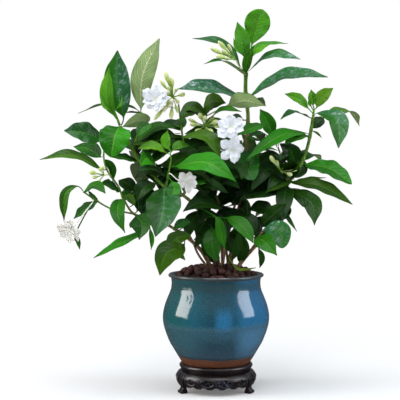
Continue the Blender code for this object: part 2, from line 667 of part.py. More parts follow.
def make_stand():
    make_stand_top()
    for number in range(LEG_COUNT):
        middle = FRONT + number * 360.0 / LEG_COUNT
        make_apron(f"stand_apron_{number + 1}", middle)
        make_leg(f"stand_leg_{number + 1}", middle + 180.0 / LEG_COUNT)


def make_stems():
    for name, runs in RUNS.items():
        rods = [tube([point for point, _ in run], [radius for _, radius in run]) for run in runs]
        rods[0] = flat_foot(rods[0])
        if name == "shoot_back":
            for base, middle, tip, width, lean in BACK_LEAVES:
                run = [sight(*base), sight(*middle), sight(*tip)]
                start = nearest_twig(run[0], [name])[1]
                rods.append(leaf_mesh([start, *run], width, lean))
        grown(name, rods, "bark")


def make_leaves():
    for name, (base, middle, tip, width, lean) in LEAVES.items():
        run = [sight(*base), sight(*middle), sight(*tip)]
        place(name, leaf_mesh([seat(run[0], run[1]), *run], width, lean), "leaf")


def make_tips():
    for name, (stub, blades) in TIPS.items():
        top = sight(*stub[:3])
        below, radius = stem_end(top)
        start = below + (top - below).normalized() * STUB_CLEAR
        growth = [tube([start, top], (radius, radius * STUB_TAPER), 1)]
        for root, base, middle, tip, width, lean in blades:
            run = [start.lerp(top, root), sight(*base), sight(*middle), sight(*tip)]
            growth.append(leaf_mesh(run, width, lean, TIP_LEAF_ROWS))
        grown(name, growth, "young_leaf")


def make_flowers():
    for name, (stalk, centre, facing, radius) in FLOWERS.items():
        middle = sight(*centre)
        run = [sight(*point) for point in stalk]
        outward = Vector(facing).normalized()
        inner = middle + outward * (RUFFLE * radius)
        run = [seat(run[0], run[1]), *run, middle - outward * CORE_R]
        growth = [corolla_mesh(middle, facing, radius, OUTER_CUP)]
        growth.append(corolla_mesh(inner, facing, radius * INNER_WHORL, INNER_CUP))
        rod = smooth_run([*run, inner + outward * CORE_RISE], 2)
        growth.append(tube(rod, [STALK_R] * (len(rod) - 3) + [CORE_R] * 3, 1))
        grown(name, growth, "petal")


def make_buds():
    for name, (stalk, buds) in BUDS.items():
        run = [sight(*point) for point in stalk]
        knot = run[-1] + (run[-1] - run[-2]).normalized() * KNOT_R
        run = [seat(run[0], run[1]), *run, knot]
        growth = [tube(run, [STALK_R] * (len(run) - 2) + [KNOT_R] * 2, 1)]
        growth += [bud_mesh(sight(*base), sight(*tip), radius) for base, tip, radius in buds]
        grown(name, growth, "bud")


PIECES = None
CUTTERS = None
RUNS = {}


def main():
    global PIECES, CUTTERS
    clear_scene()
    PIECES = new_collection("potted_crepe_jasmine")
    CUTTERS = new_collection("cutters")
    for name, branches in STEMS.items():
        RUNS[name] = stem_runs(branches)
    make_pot()
    make_soil()
    make_pellets()
    make_stand()
    make_stems()
    make_leaves()
    make_tips()
    make_flowers()
    make_buds()


main()
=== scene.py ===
# Looks of the potted crepe jasmine: leaves, shoots, flowers and buds on their
# stems, the glazed pot with its clay pellets, and the carved stand.
# Places are metres. The shrub is laid out on a 400 by 400 front view, as
# (column, row, depth behind the pot's axis in millimetres).
import math
import random

import bmesh
import bpy
from mathutils import Matrix, Vector


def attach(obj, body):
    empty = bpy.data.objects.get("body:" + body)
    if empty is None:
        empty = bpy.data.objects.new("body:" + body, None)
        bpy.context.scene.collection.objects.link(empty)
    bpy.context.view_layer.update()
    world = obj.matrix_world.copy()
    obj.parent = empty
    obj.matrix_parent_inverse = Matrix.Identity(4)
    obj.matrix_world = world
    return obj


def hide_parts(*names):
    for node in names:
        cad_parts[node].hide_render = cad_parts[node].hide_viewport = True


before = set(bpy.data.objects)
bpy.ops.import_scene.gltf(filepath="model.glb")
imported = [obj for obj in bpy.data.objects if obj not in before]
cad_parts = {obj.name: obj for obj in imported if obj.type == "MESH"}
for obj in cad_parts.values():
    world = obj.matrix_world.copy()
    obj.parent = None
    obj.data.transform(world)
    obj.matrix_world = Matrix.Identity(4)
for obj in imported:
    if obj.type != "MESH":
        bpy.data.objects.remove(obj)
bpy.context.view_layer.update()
SCENE = bpy.context.scene

MM = 0.001
SHEET_STEP = 5.0 / 3.0     # millimetres at the pot's axis to one step of the front view
SHEET_SIZE = 400
AXIS_COLUMN = 216.0
FLOOR_ROW = 388.8
EYE_DISTANCE = 1583.3
EYE_HEIGHT = 348.0

GAP = 0.3
TWIG_CLEAR = 0.45
STUB_CLEAR = 0.9
STUB_TAPER = 0.72
NEAR_TWIG = 2.0

# Pot and stand: (radius, height) profiles in millimetres.
POT_OUTSIDE = ((78.0, 192.4), (79.4, 190.5), (78.6, 188.2), (75.4, 186.6), (74.0, 180.0), (74.2, 173.0),
               (76.0, 164.3), (84.8, 142.0), (88.5, 123.0), (86.5, 105.3), (78.5, 83.0),
               (70.5, 68.7), (57.7, 48.0), (50.5, 41.2), (48.5, 39.6))
POT_INSIDE = ((46.0, 47.0), (51.5, 50.0), (66.0, 69.5), (73.5, 83.8), (81.4, 105.8), (83.4, 122.8),
              (79.9, 140.8), (71.4, 163.0), (69.6, 173.0), (69.4, 182.0), (72.6, 189.0), (75.0, 192.6))
MOUND_EDGE_R = 68.6
MOUND_EDGE_Z = 190.5
MOUND_TOP_Z = 208.0
MOUND_SWELL = 4.0
SOIL_TOP_Z = 176.0
PELLET_R = (5.2, 6.8)
BOARD_OUTSIDE = ((53.4, 43.4), (55.6, 45.0), (59.0, 44.4), (60.9, 41.4), (59.6, 38.2),
                 (57.6, 37.2), (57.6, 33.9), (54.0, 33.6), (54.0, 12.5), (50.0, 12.5), (50.0, 22.0))
BOARD_SEAT = (52.0, 39.3)
LEG_OUTLINE = ((54.4, 33.0), (58.6, 33.4), (63.6, 30.0), (66.8, 24.0), (66.6, 16.0),
               (64.0, 9.0), (66.2, 5.8), (68.6, 5.0), (69.2, 2.0), (67.6, 0.0),
               (57.4, 0.0), (56.6, 3.0), (58.2, 8.0), (58.6, 15.0), (54.4, 20.5))
LEG_WIDTH = 14.0
APRON_OUTSIDE = ((58.4, 33.2), (63.2, 30.2), (66.5, 24.0), (65.4, 17.0), (63.0, 11.5))
APRON_WALL = 6.0
HUB_R = 54.0
APRON_HOLE_Z = 21.2
# Oval piercings: angle from the apron's middle, half width, half height.
APRON_HOLES = ((-38.5, 9.2, 4.4), (-13.0, 10.6, 5.2), (13.0, 10.6, 5.2), (38.5, 9.2, 4.4))
APRON_ARCH = (6.0, 3.6)
APRON_ARCH_Z = 10.6
APRON_ARCH_ANGLES = (-36.0, -18.0, 0.0, 18.0, 36.0)
APRON_FACE_R = 65.0
KNOT_ANGLES = (-49.6, -26.4, 0.0, 26.4, 49.6)
RIM_STEPS = 24
SCROLL_R = 1.1
SCROLL_STEPS = 26
SCROLL_START = -1.75
SCROLL_TURNS = 1.3
EDGE_ANGLE = 50.0
EDGE_STEPS = 120

FLOOR_R = 1.1
SURROUND_R = 12.0

LEAF_FOLD = 0.20
PETIOLE_HALF = 1.0
LEAF_TIP_HALF = 0.5
LEAF_ROUNDNESS = 0.85
LEAF_THICK = 0.55
DRIP_START = 0.76          # share of a blade at which its drip tip begins
# Outline of a blade: where it is widest (below 1 nearer its stalk), how full it
# is, and how thin its tip is drawn out.
POINTED = (0.85, 0.85, 0.55)
BLUNT = (0.9, 0.62, 0.0)
ROUND_TOP = (1.35, 0.62, 0.0)
BLUNT_LEAVES = ("leaf_low_right_silver", "leaf_left_front", "leaf_right_low", "leaf_centre_blue")

# Stems: a main run and its branches, as (column, row, depth, radius), after the
# rows between which the bark turns from brown to green.
STEMS = {
    "stem_left": ((236, 196), (
        ((213, 286, -6, 4.2), (209.5, 266, -8, 4.0), (206, 258, -12, 3.6), (199, 248, -22, 3.2),
         (185, 236, -38, 2.8), (166, 224, -55, 2.4), (150, 217.5, -66, 2.1), (134, 214, -74, 1.9),
         (124, 200, -80, 1.7), (118, 186, -80, 1.6), (108, 172, -76, 1.5), (104, 160, -68, 1.3),
         (104, 144, -60, 1.2)),
        ((134, 214, -74, 1.5), (112, 209, -95, 1.4), (97, 201, -108, 1.3), (83, 191.5, -117, 1.1)),
    )),
    "stem_centre": ((226, 178), (
        ((219, 286, 8, 3.6), (218, 262, 6, 3.4), (213, 236, -6, 3.1), (200, 212, -30, 2.8),
         (184, 196, -55, 2.5), (166, 188, -75, 2.2), (152, 174, -72, 2.3), (139.5, 161, -62, 2.4),
         (133, 150, -58, 2.5), (128, 140, -60, 2.5), (120, 126, -64, 2.3)),
        ((133, 150, -58, 1.4), (138, 132, -46, 1.3), (140.5, 115, -35, 1.2)),
        ((184, 196, -55, 2.0), (186, 170, -50, 1.8), (184, 148, -45, 1.6), (181, 125, -42, 1.4),
         (178.5, 104, -42, 1.2)),
        ((166, 188, -75, 1.7), (168, 176, -90, 1.6), (171, 160, -88, 1.3)),
    )),
    "stem_middle": ((215, 165), (
        ((223.5, 286, 17, 3.0), (222.5, 262, 17, 2.9), (221, 230, 8, 2.6), (219, 205, 0, 2.3),
         (213, 190, -8, 2.1), (205, 176, -14, 1.9), (204, 152, -18, 1.7), (207, 130, -24, 1.5),
         (206, 116, -20, 1.3)),
    )),
    "stem_tall": ((165, 100), (
        ((230, 286, 26, 4.0), (231, 262, 26, 3.9), (234, 235, 26, 3.7), (240, 205, 26, 3.5),
         (245, 170, 20, 3.3), (246, 152, 16, 3.3), (248, 120, 10, 3.3), (247, 105, 8, 3.4),
         (245.5, 90, 6, 3.5), (246, 72, 4, 3.2)),
    )),
    "stem_right": ((198, 174), (
        ((226, 286, -30, 3.4), (240, 264, -30, 3.2), (255, 246, -24, 3.2), (263, 235, -16, 3.1),
         (275, 215, 0, 3.1), (284, 196, 8, 3.0), (288, 183, 12, 3.0), (297, 172, 24, 3.0),
         (303, 160, 34, 3.0), (308, 145, 44, 2.9), (311, 130, 52, 2.8), (313, 117, 58, 2.5)),
        ((288, 183, 12, 1.6), (284, 172, 4, 1.4), (281, 157, 10, 1.3), (278, 147, 18, 1.1)),
        ((255, 246, -24, 1.6), (256, 240, -42, 1.4), (262, 232, -56, 1.2)),
    )),
    "shoot_back": ((200, 150), (
        ((221, 286, 38, 3.0), (223, 262, 44, 2.8), (228, 230, 66, 2.6), (236, 200, 84, 2.4),
         (240, 170, 98, 2.1), (236, 140, 108, 1.7), (232, 124, 112, 1.3)),
    )),
}

# Tones of a leaf: how bright, how olive, how much blue sky shine.
# Low brightness stands for painted shade, as in the darkest tone here, given to leaves deep in the shrub's middle.
# The shine number is painted sky reflection.
IN_SHADE = (0.08, 0.15, 0.0)
DEEP = (0.30, 0.15, 0.1)
MID = (0.50, 0.10, 0.0)
BRIGHT = (0.78, 0.0, 0.0)
LIME = (1.0, 0.12, 0.0)
OLIVE = (0.38, 0.85, 0.0)
# The next two tones carry painted blue sky reflection, strong and mild.
SHINY = (0.30, 0.0, 0.75)
SKY_SHEEN = (0.48, 0.0, 0.35)
DULL = (0.22, 0.75, 0.0)
SAGE = (1.0, 0.0, 0.0)

# Leaves: base, middle and tip of the midrib, width, lean (0 faces up, 90 the
# front, below 0 shows the underside to the front), tone, and the half that carries
# the sky shine (0 both, 1 or -1 one).
LEAVES = {
    "leaf_far_left": ((101, 169, -84), (72, 155, -96), (39.5, 159.5, -108), 28, 30, (0.6, 0.8, 0.0), 0),
    "leaf_left_dark": ((101, 140, -62), (85, 133, -76), (63, 130.5, -90), 38, 60, (0.38, 0.0, 0.4), 0),
    "leaf_left_curled": ((100, 157, -56), (88, 149, -42), (73, 146.5, -32), 32, 45, MID, 0),
    "leaf_left_front": ((119, 127, -80), (114.5, 138, -105), (111, 157.5, -112), 50, 80, BRIGHT, 0),
    "leaf_left_upright": ((123.5, 116, -54), (117, 85, -50), (117.5, 48.5, -42), 44, 75, (0.42, 0.1, 0.6), 1),
    "leaf_pale_upright": ((141, 108, -34), (142.5, 76, -36), (160.5, 36.5, -24), 38, -75, SAGE, 0),
    "leaf_left_thin": ((136, 109, -34), (108, 104, -20), (76, 114, -16), 28, 14, DULL, 0),
    "leaf_low_left_long": ((147, 230, -70), (122, 242.5, -84), (92, 258.7, -92), 24, 25, BRIGHT, 0),
    "leaf_low_left_front": ((119, 199, -100), (117.5, 214, -140), (125, 233, -152), 24, 75, MID, 0),
    "leaf_low_left_broad": ((136, 216, -86), (142, 225, -112), (139, 240, -118), 38, 80, DEEP, 0),
    "leaf_low_left_drooping": ((77, 186, -124), (65, 194, -134), (64, 221.5, -140), 15, 35,
                               (0.5, 0.5, 0.0), 0),
    "leaf_front_broad": ((164, 188, -112), (163, 212, -165), (155, 238, -198), 54, 80, (0.26, 0.05, 0.8), -1),
    "leaf_centre_bright": ((177, 166, -104), (207, 163, -138), (236.5, 181.5, -148), 40, 50, BRIGHT, 0),
    "leaf_rim_left": ((184, 245, -62), (166, 254, -96), (159.5, 276.5, -106), 38, 72, OLIVE, 0),
    "leaf_top_left": ((240, 66, 10), (224, 44, 6), (192.3, 38.3, -4), 30, 27, SHINY, 0),
    "leaf_top_right": ((251, 69, -4), (272, 55, -30), (302, 59.5, -45), 34, 35, (0.5, 0.0, 0.6), 0),
    "leaf_middle_right": ((252, 95, 16), (287, 75.5, 0), (330.4, 77.2, -20), 48, 30, (0.45, 0.0, 0.6), 0),
    "leaf_middle_left": ((238, 95, -14), (208, 88, -55), (177, 89, -80), 50, 40, SHINY, 0),
    "leaf_middle_pale": ((229, 105, -44), (246, 101, -75), (266.3, 106, -85), 32, -62, SAGE, 0),
    "leaf_right_drooping": ((318, 113, 48), (338, 120, 20), (338.4, 149.5, -10), 34, 60, (0.5, 0.0, 0.7), -1),
    "leaf_right_far": ((324, 116, 86), (349, 111, 148), (359.5, 126, 200), 32, 30, (0.8, 0.8, 0.0), 0),
    "leaf_right_long": ((305, 133, 41), (280, 136, -8), (246, 159.5, -52), 28, 50, BRIGHT, 0),
    "leaf_centre_blue": ((253, 152, -14), (247, 165, -28), (253.6, 181, -42), 42, 80, (0.5, 0.0, 0.25), 0),
    "leaf_right_upright": ((273, 136, 29), (268, 123, 24), (259.7, 108.4, 26), 26, 70, BRIGHT, 0),
    "leaf_right_low": ((305.5, 164.5, 25), (330, 169, 0), (351.8, 184.3, -20), 36, 45, BRIGHT, 0),
    "leaf_right_olive": ((292, 182.5, 4), (322, 187, -12), (354.3, 205.5, -20), 34, 35, DULL, 0),
    "leaf_right_hanging": ((291, 191, -4), (312, 204, -32), (314.5, 225.3, -60), 33, 60, (0.14, 0.2, 0.0), 0),
    "leaf_low_right_silver": ((266, 228, -58), (281, 234, -80), (283, 249, -98), 38, 75, (0.45, 0.0, 0.9), 0),
    "leaf_low_right": ((258, 237, -66), (266, 243, -94), (277.2, 255.6, -108), 30, 70, MID, 0),
    "leaf_low_dark": ((262, 226, -30), (273, 215, -46), (287, 203, -60), 30, 60, IN_SHADE, 0),
}

BACK_LEAVES = (
    ((234, 150, 112), (221, 148, 150), (206, 160, 188), 38, 20, MID, 0),
    ((240, 160, 108), (252, 162, 150), (268, 174, 192), 38, 20, DEEP, 0),
    ((232, 194, 96), (218, 188, 140), (202, 192, 182), 40, 15, MID, 0),
    ((240, 181, 98), (254, 180, 140), (272, 188, 186), 40, 15, DEEP, 0),
    ((233, 128, 114), (226, 122, 140), (219, 128, 176), 30, 20, BRIGHT, 0),
    ((228, 226, 76), (216, 222, 110), (204, 232, 150), 36, 15, DEEP, 0),
)

# Smaller leaves between the large ones, grouped by the part of the shrub.
MORE_LEAVES = {
    "leaves_upper_left": (
        ((150, 120.5, -60), (137, 121, -80), (122, 127, -95), 26, -60, (0.85, 0.25, 0.0), 0),
        ((150, 117, -30), (135, 113, -30), (120, 113, -30), 24, 10, DULL, 0),
        ((150, 124, -80), (143, 128, -90), (137, 137, -100), 20, 60, MID, 0),
        ((168, 135, -40), (150, 141, -60), (128, 146, -80), 26, 25, OLIVE, 0),
        ((156, 166, -70), (147, 158, -100), (140, 166, -130), 28, 65, BRIGHT, 0),
        ((137, 161, -50), (124, 158, -60), (110, 157, -65), 28, 30, MID, 0),
        ((183, 160, -50), (192, 158, -60), (200, 154, -66), 16, 60, DEEP, 0),
        ((183, 137, -70), (208, 137, -90), (221, 160, -95), 30, 35, OLIVE, 0),
        ((184, 148, -40), (196, 146, -30), (212, 150, -20), 30, 60, IN_SHADE, 0),
        ((182, 130, -40), (170, 124, -30), (156, 128, -20), 26, 40, IN_SHADE, 0),
        ((180, 118, -44), (192, 112, -30), (204, 118, -20), 24, 40, DULL, 0),
        ((128, 140, -60), (118, 146, -50), (106, 150, -44), 26, 60, IN_SHADE, 0),
    ),
    "leaves_lower_left": (
        ((160, 173, -80), (148, 168, -95), (137, 171, -100), 22, 25, DEEP, 0),
        ((119, 190, -70), (109, 185, -95), (100, 183, -110), 24, 60, DEEP, 0),
        ((134, 192, -60), (127, 184, -60), (118, 180, -50), 26, 50, IN_SHADE, 0),
        ((172, 182, -120), (174, 190, -128), (169, 200, -140), 22, 85, BRIGHT, 0),
        ((155, 184, -90), (143, 188, -100), (137, 201, -100), 28, 50, IN_SHADE, 0),
        ((124, 196, -85), (130, 198, -90), (135, 206, -95), 14, 60, OLIVE, 0),
        ((190, 222, -60), (180, 224, -60), (173, 231, -60), 16, 60, SKY_SHEEN, 0),
        ((190, 234, -60), (172, 242, -80), (186, 261, -75), 26, 60, OLIVE, 0),
        ((84.5, 192, -115), (96, 185, -120), (106, 194, -130), 18, 40, MID, 0),
        ((98, 201, -108), (92, 196, -112), (88, 190, -116), 8, 60, MID, 0),
        ((97, 201, -100), (87, 208, -110), (73, 219.5, -120), 26, 20, DEEP, 0),
        ((150, 229, -90), (152, 240, -95), (151, 250, -95), 8, 70, LIME, 0),
        ((76, 232, -134), (78, 241, -136), (80, 250, -138), 8, 60, DEEP, 0),
        ((104, 160, -68), (112, 168, -60), (113, 182, -52), 14, 60, MID, 0),
    ),
    "leaves_middle": (
        ((222, 207, -20), (200, 203, -60), (182, 212, -80), 30, 50, IN_SHADE, 0),
        ((204, 178, -60), (199, 184, -75), (206, 183, -85), 10, 50, BRIGHT, 0),
        ((207, 116, -20), (192, 107, -26), (180, 112, -30), 30, 35, OLIVE, 0),
        ((206, 113, -20), (212, 102, -30), (226, 103, -40), 30, 50, OLIVE, 0),
        ((206, 123, -30), (222, 110, -60), (242, 111.5, -70), 28, 35, MID, 0),
        ((227, 218, -60), (242, 226, -75), (254, 244, -90), 28, 45, MID, 0),
        ((225, 212, -10), (240, 214, -20), (249.7, 219.5, -26), 20, 25, IN_SHADE, 0),
        ((216, 217, -90), (221, 233, -95), (225, 249, -95), 16, 70, MID, 0),
        ((212, 228, -40), (212, 244, -60), (217, 263, -60), 30, 80, DEEP, 0),
        ((240, 232, -50), (238, 247, -50), (231, 262, -45), 14, 60, IN_SHADE, 0),
        ((232, 205, 0), (247, 190, -20), (258, 184, -30), 28, 40, IN_SHADE, 0),
        ((205, 176, -14), (216, 172, -30), (228, 178, -44), 30, 60, IN_SHADE, 0),
        ((219, 205, 0), (206, 196, -20), (192, 198, -30), 30, 50, IN_SHADE, 0),
        ((213, 190, -8), (198, 182, -10), (184, 186, -6), 32, 60, IN_SHADE, 0),
        ((221, 230, 8), (208, 222, 0), (196, 228, -10), 28, 60, IN_SHADE, 0),
        ((221, 230, 8), (232, 220, -4), (246, 224, -14), 28, 60, IN_SHADE, 0),
        ((200, 212, -30), (190, 224, -44), (188, 240, -52), 24, 75, IN_SHADE, 0),
        ((204, 160, -18), (216, 150, -10), (230, 150, 0), 30, 60, IN_SHADE, 0),
        ((205, 140, -20), (196, 132, -6), (184, 134, 6), 26, 50, IN_SHADE, 0),
        ((207, 130, -24), (214, 122, -16), (224, 122, -10), 20, 50, DEEP, 0),
        ((219, 205, 0), (228, 196, 10), (240, 196, 18), 26, 60, IN_SHADE, 0),
        ((232, 245, 20), (236, 236, -10), (244, 224, -24), 26, 70, IN_SHADE, 0),
        ((221, 240, 10), (230, 244, -16), (236, 258, -26), 24, 75, IN_SHADE, 0),
        ((218, 262, 6), (206, 246, -20), (202, 232, -30), 24, 75, IN_SHADE, 0),
        ((240, 262, -30), (244, 246, -44), (240, 232, -52), 20, 75, IN_SHADE, 0),
        ((213, 236, -6), (202, 238, -30), (194, 248, -40), 22, 60, IN_SHADE, 0),
        ((255, 246, -24), (262, 238, -36), (272, 238, -44), 22, 60, IN_SHADE, 0),
    ),
    "leaves_top": (
        ((245, 75, 0), (222, 61, -40), (203.5, 64, -60), 26, 20, BRIGHT, 0),
        ((262, 124, -10), (250, 129, -40), (235.7, 135.8, -60), 24, 45, MID, 0),
        ((246, 137, 12), (253, 139, 4), (261, 141, -2), 10, 40, DEEP, 0),
        ((245, 73, -4), (248, 58, -16), (254, 45, -26), 16, 70, (1.0, 0.4, 0.0), 0),
    ),
    "leaves_right": (
        ((277, 134, 20), (281, 131, 16), (285.5, 128.3, 10), 6, 60, MID, 0),
        ((277, 150, 10), (271, 149, -20), (266, 148, -40), 16, 50, BRIGHT, 0),
        ((310, 118, 55), (293, 112, 30), (279.7, 120, 20), 26, 20, SKY_SHEEN, 0),
        ((313, 128, 55), (318, 122, 60), (324, 117, 70), 24, 50, IN_SHADE, 0),
        ((313, 131, 52), (317, 133, 48), (321.8, 137.7, 44), 5, 50, OLIVE, 0),
        ((308, 136, 45), (297, 136, 20), (284, 145, -10), 26, 45, MID, 0),
        ((301, 168, 40), (291, 153, 30), (279, 143, 20), 34, 60, IN_SHADE, 0),
        ((296, 181, 20), (312, 179, 30), (327, 177.5, 40), 20, 15, OLIVE, 0),
        ((293, 181, 0), (280, 186, -20), (265, 192.5, -40), 14, 30, OLIVE, 0),
        ((282, 206, -10), (288, 218, -30), (297, 231.5, -50), 8, 60, DEEP, 0),
        ((284, 190, 10), (262, 192, -20), (238, 200, -40), 40, 40, IN_SHADE, 0),
        ((280, 205, 0), (284, 212, -14), (278, 222, -24), 26, 60, IN_SHADE, 0),
        ((259, 249, -60), (262, 258, -65), (259.5, 268.5, -65), 10, 70, IN_SHADE, 0),
        ((284, 172, 4), (272, 168, -6), (258, 172, -14), 28, 60, IN_SHADE, 0),
        ((281, 157, 10), (268, 158, 0), (256, 166, -8), 26, 60, IN_SHADE, 0),
        ((288, 183, 12), (274, 180, 10), (258, 186, 10), 32, 50, IN_SHADE, 0),
        ((303, 160, 34), (300, 172, 20), (288, 178, 6), 22, 60, IN_SHADE, 0),
        ((275, 215, 0), (262, 208, -8), (248, 210, -16), 30, 50, IN_SHADE, 0),
        ((263, 235, -16), (250, 228, -24), (240, 232, -30), 22, 60, IN_SHADE, 0),
    ),
    "leaves_back": (
        ((240, 205, 26), (226, 196, 50), (210, 202, 74), 36, 30, DEEP, 0),
        ((243, 185, 24), (258, 178, 50), (274, 184, 72), 36, 30, DEEP, 0),
        ((246, 160, 18), (232, 154, 46), (216, 160, 70), 34, 30, MID, 0),
        ((246, 160, 18), (260, 156, 44), (276, 164, 66), 34, 30, DEEP, 0),
        ((236, 225, 28), (222, 220, 50), (208, 228, 66), 30, 20, IN_SHADE, 0),
        ((236, 225, 28), (250, 218, 50), (264, 224, 66), 30, 20, IN_SHADE, 0),
        ((184, 196, -40), (172, 198, -10), (160, 206, 20), 34, 25, DEEP, 0),
        ((186, 172, -48), (174, 164, -16), (162, 170, 14), 34, 25, MID, 0),
        ((186, 168, -48), (196, 162, -10), (206, 170, 24), 34, 25, DEEP, 0),
        ((182, 128, -40), (176, 120, -8), (166, 126, 22), 28, 25, MID, 0),
        ((150, 217, -62), (146, 208, -34), (136, 212, -8), 30, 25, DEEP, 0),
        ((124, 200, -76), (132, 192, -50), (134, 200, -22), 28, 25, MID, 0),
        ((133, 150, -54), (126, 142, -26), (114, 148, 0), 30, 25, DEEP, 0),
        ((284, 196, 10), (290, 188, 44), (302, 196, 74), 32, 25, DEEP, 0),
        ((303, 160, 36), (298, 152, 66), (288, 158, 96), 30, 25, MID, 0),
        ((303, 160, 36), (312, 154, 66), (322, 162, 94), 30, 25, MID, 0),
        ((275, 215, 2), (266, 210, 34), (254, 218, 60), 30, 25, DEEP, 0),
        ((247, 105, 10), (240, 98, 40), (228, 104, 68), 30, 20, MID, 0),
        ((247, 105, 10), (256, 98, 40), (266, 106, 66), 28, 20, MID, 0),
        ((206, 150, -16), (200, 142, 14), (192, 148, 44), 30, 25, DEEP, 0),
        ((219, 205, 4), (210, 198, 34), (200, 206, 60), 30, 25, DEEP, 0),
    ),
}

# The dense middle of the shrub: its outline on the front view, and the gaps in
# it, as (column, row, half width, half height).
HEART = [(108, 132), (122, 120), (150, 118), (176, 110), (212, 106), (236, 112), (262, 118), (284, 138),
         (306, 150), (302, 176), (296, 196), (282, 224), (272, 250), (252, 254), (232, 262), (205, 262),
         (192, 246), (172, 240), (150, 226), (130, 206), (116, 188), (104, 160)]
HEART_ROWS = (118.0, 246.0)
GAPS = ((195, 199, 6, 5), (181, 216, 3, 3), (187, 220, 4, 3), (199, 221, 3, 3), (208, 231, 4, 4),
        (185, 243, 6, 4), (266, 213, 4, 6), (274, 203, 6, 5), (196, 257, 12, 9), (234, 232, 5, 5),
        (122, 172, 12, 12), (112, 195, 8, 8), (258, 246, 4, 6))
INNER_LEAVES = 120
FRONT_LIMIT = -75.0

# Young tips: the end of a stub that carries on a stem, and the small leaves round
# it, each after the share of the stub's length at which it starts.
TIPS = {
    "tip_left": ((114, 110, -70), (
        (0.4, (114, 115, -72), (106.5, 96, -80), (109, 68, -74), 22, 65, LIME),
        (0.7, (111, 110, -78), (104, 104, -88), (101, 93, -92), 11, 60, LIME),
        (0.9, (117, 108, -76), (122, 103, -86), (121.5, 95, -88), 8, 60, LIME),
    )),
    "tip_tall": ((250, 54, 2), (
        (0.35, (245.5, 57, -4), (242, 40, -16), (237, 21, -20), 26, 60, (0.85, 0.0, 0.4)),
        (0.55, (251, 56, -8), (259, 50, -22), (270, 44, -28), 20, 50, LIME),
        (0.45, (243, 55, 12), (237, 48, 20), (233.5, 38, 24), 10, 50, MID),
        (0.85, (252, 50, 20), (268, 44, 44), (288.5, 43.5, 52), 24, 25, SKY_SHEEN),
        (1.0, (252, 44, 4), (257, 25, -5), (263, 8.5, -16), 44, 78, (1.0, 0.0, 0.15)),
    )),
    "tip_right": ((314.2, 108, 62), (
        (0.3, (308, 108, 54), (299, 99, 47), (284, 93.5, 42), 20, 60, LIME),
        (0.6, (311, 106, 52), (309, 102, 47), (311, 98, 44), 8, 60, LIME),
        (0.95, (313, 105, 60), (312.5, 99, 58), (311, 89.3, 56), 16, 70, LIME),
        (0.8, (317, 107, 64), (322, 97, 65), (333.7, 87.6, 62), 24, 60, (0.85, 0.5, 0.0)),
    )),
    "tip_centre": ((170, 150, -84), (
        (1.0, (169, 149, -82), (165.5, 141, -80), (167.5, 130.5, -76), 16, 80, LIME),
        (0.5, (165, 152, -90), (153, 146, -94), (137, 149, -98), 24, 35, (0.8, 0.4, 0.0)),
        (0.7, (173, 150, -78), (180, 145, -70), (190, 146, -64), 18, 50, MID),
    )),
}

# Flowers: the stalk's run, the corolla's centre, its facing, radius and warmth.
FLOWERS = {
    "flower_left": (((176, 108, -50), (166, 106, -58)), (156, 99, -74), (-0.2, -0.9, 0.2), 24, 0.0),
    "flower_upper": (((210, 131, -34), (222, 136, -58)), (230, 127, -84), (0.1, -0.9, 0.3), 24, 0.0),
    "flower_lower": (((209, 139, -36), (222, 151, -60)), (232, 150, -92), (0.2, -0.9, -0.1), 23, 0.0),
    "flower_low_left": (((92, 203, -116), (82, 216, -128)), (70, 231, -140), (-0.3, -0.8, -0.5), 21, 0.5),
    "flower_shaded": (((171, 174, -98), (178, 180, -104)), (187, 182, -114), (0.3, -0.9, -0.1), 19, 0.35),
}

# Bud clusters: the stalk's run, then each bud's base, tip and radius.
BUDS = {
    "buds_left": (((110, 175, -92), (104, 175, -104)), (
        ((104, 175, -104), (89, 172, -112), 3.9),
        ((104, 175, -104), (96, 185, -114), 3.3),
        ((104, 175, -104), (102, 166, -112), 3.1),
    )),
    "buds_upper_left": (((177, 100, -50), (173, 97, -56)), (
        ((173, 97, -56), (165, 71, -62), 4.1),
        ((173, 97, -56), (171, 119, -66), 3.7),
        ((173, 97, -56), (185, 94, -70), 3.7),
        ((173, 97, -56), (154, 120, -76), 3.5),
    )),
    "buds_top": (((241, 70, -8), (236, 60, -20)), (
        ((236, 60, -20), (218, 41, -44), 3.9),
        ((236, 60, -20), (210, 48, -50), 3.9),
        ((236, 60, -20), (216, 56, -54), 4.3),
    )),
    "buds_middle": (((205, 127, -32), (205, 126, -48)), (
        ((205, 126, -48), (199, 113, -60), 4.3),
        ((205, 126, -48), (190, 124, -64), 3.9),
        ((205, 126, -48), (212, 133, -66), 4.7),
        ((205, 126, -48), (218, 121, -66), 4.1),
    )),
    "buds_right": (((283, 173, -12), (281, 171, -24)), (
        ((281, 171, -24), (270, 156, -40), 3.9),
        ((281, 171, -24), (292, 175, -44), 3.7),
    )),
}


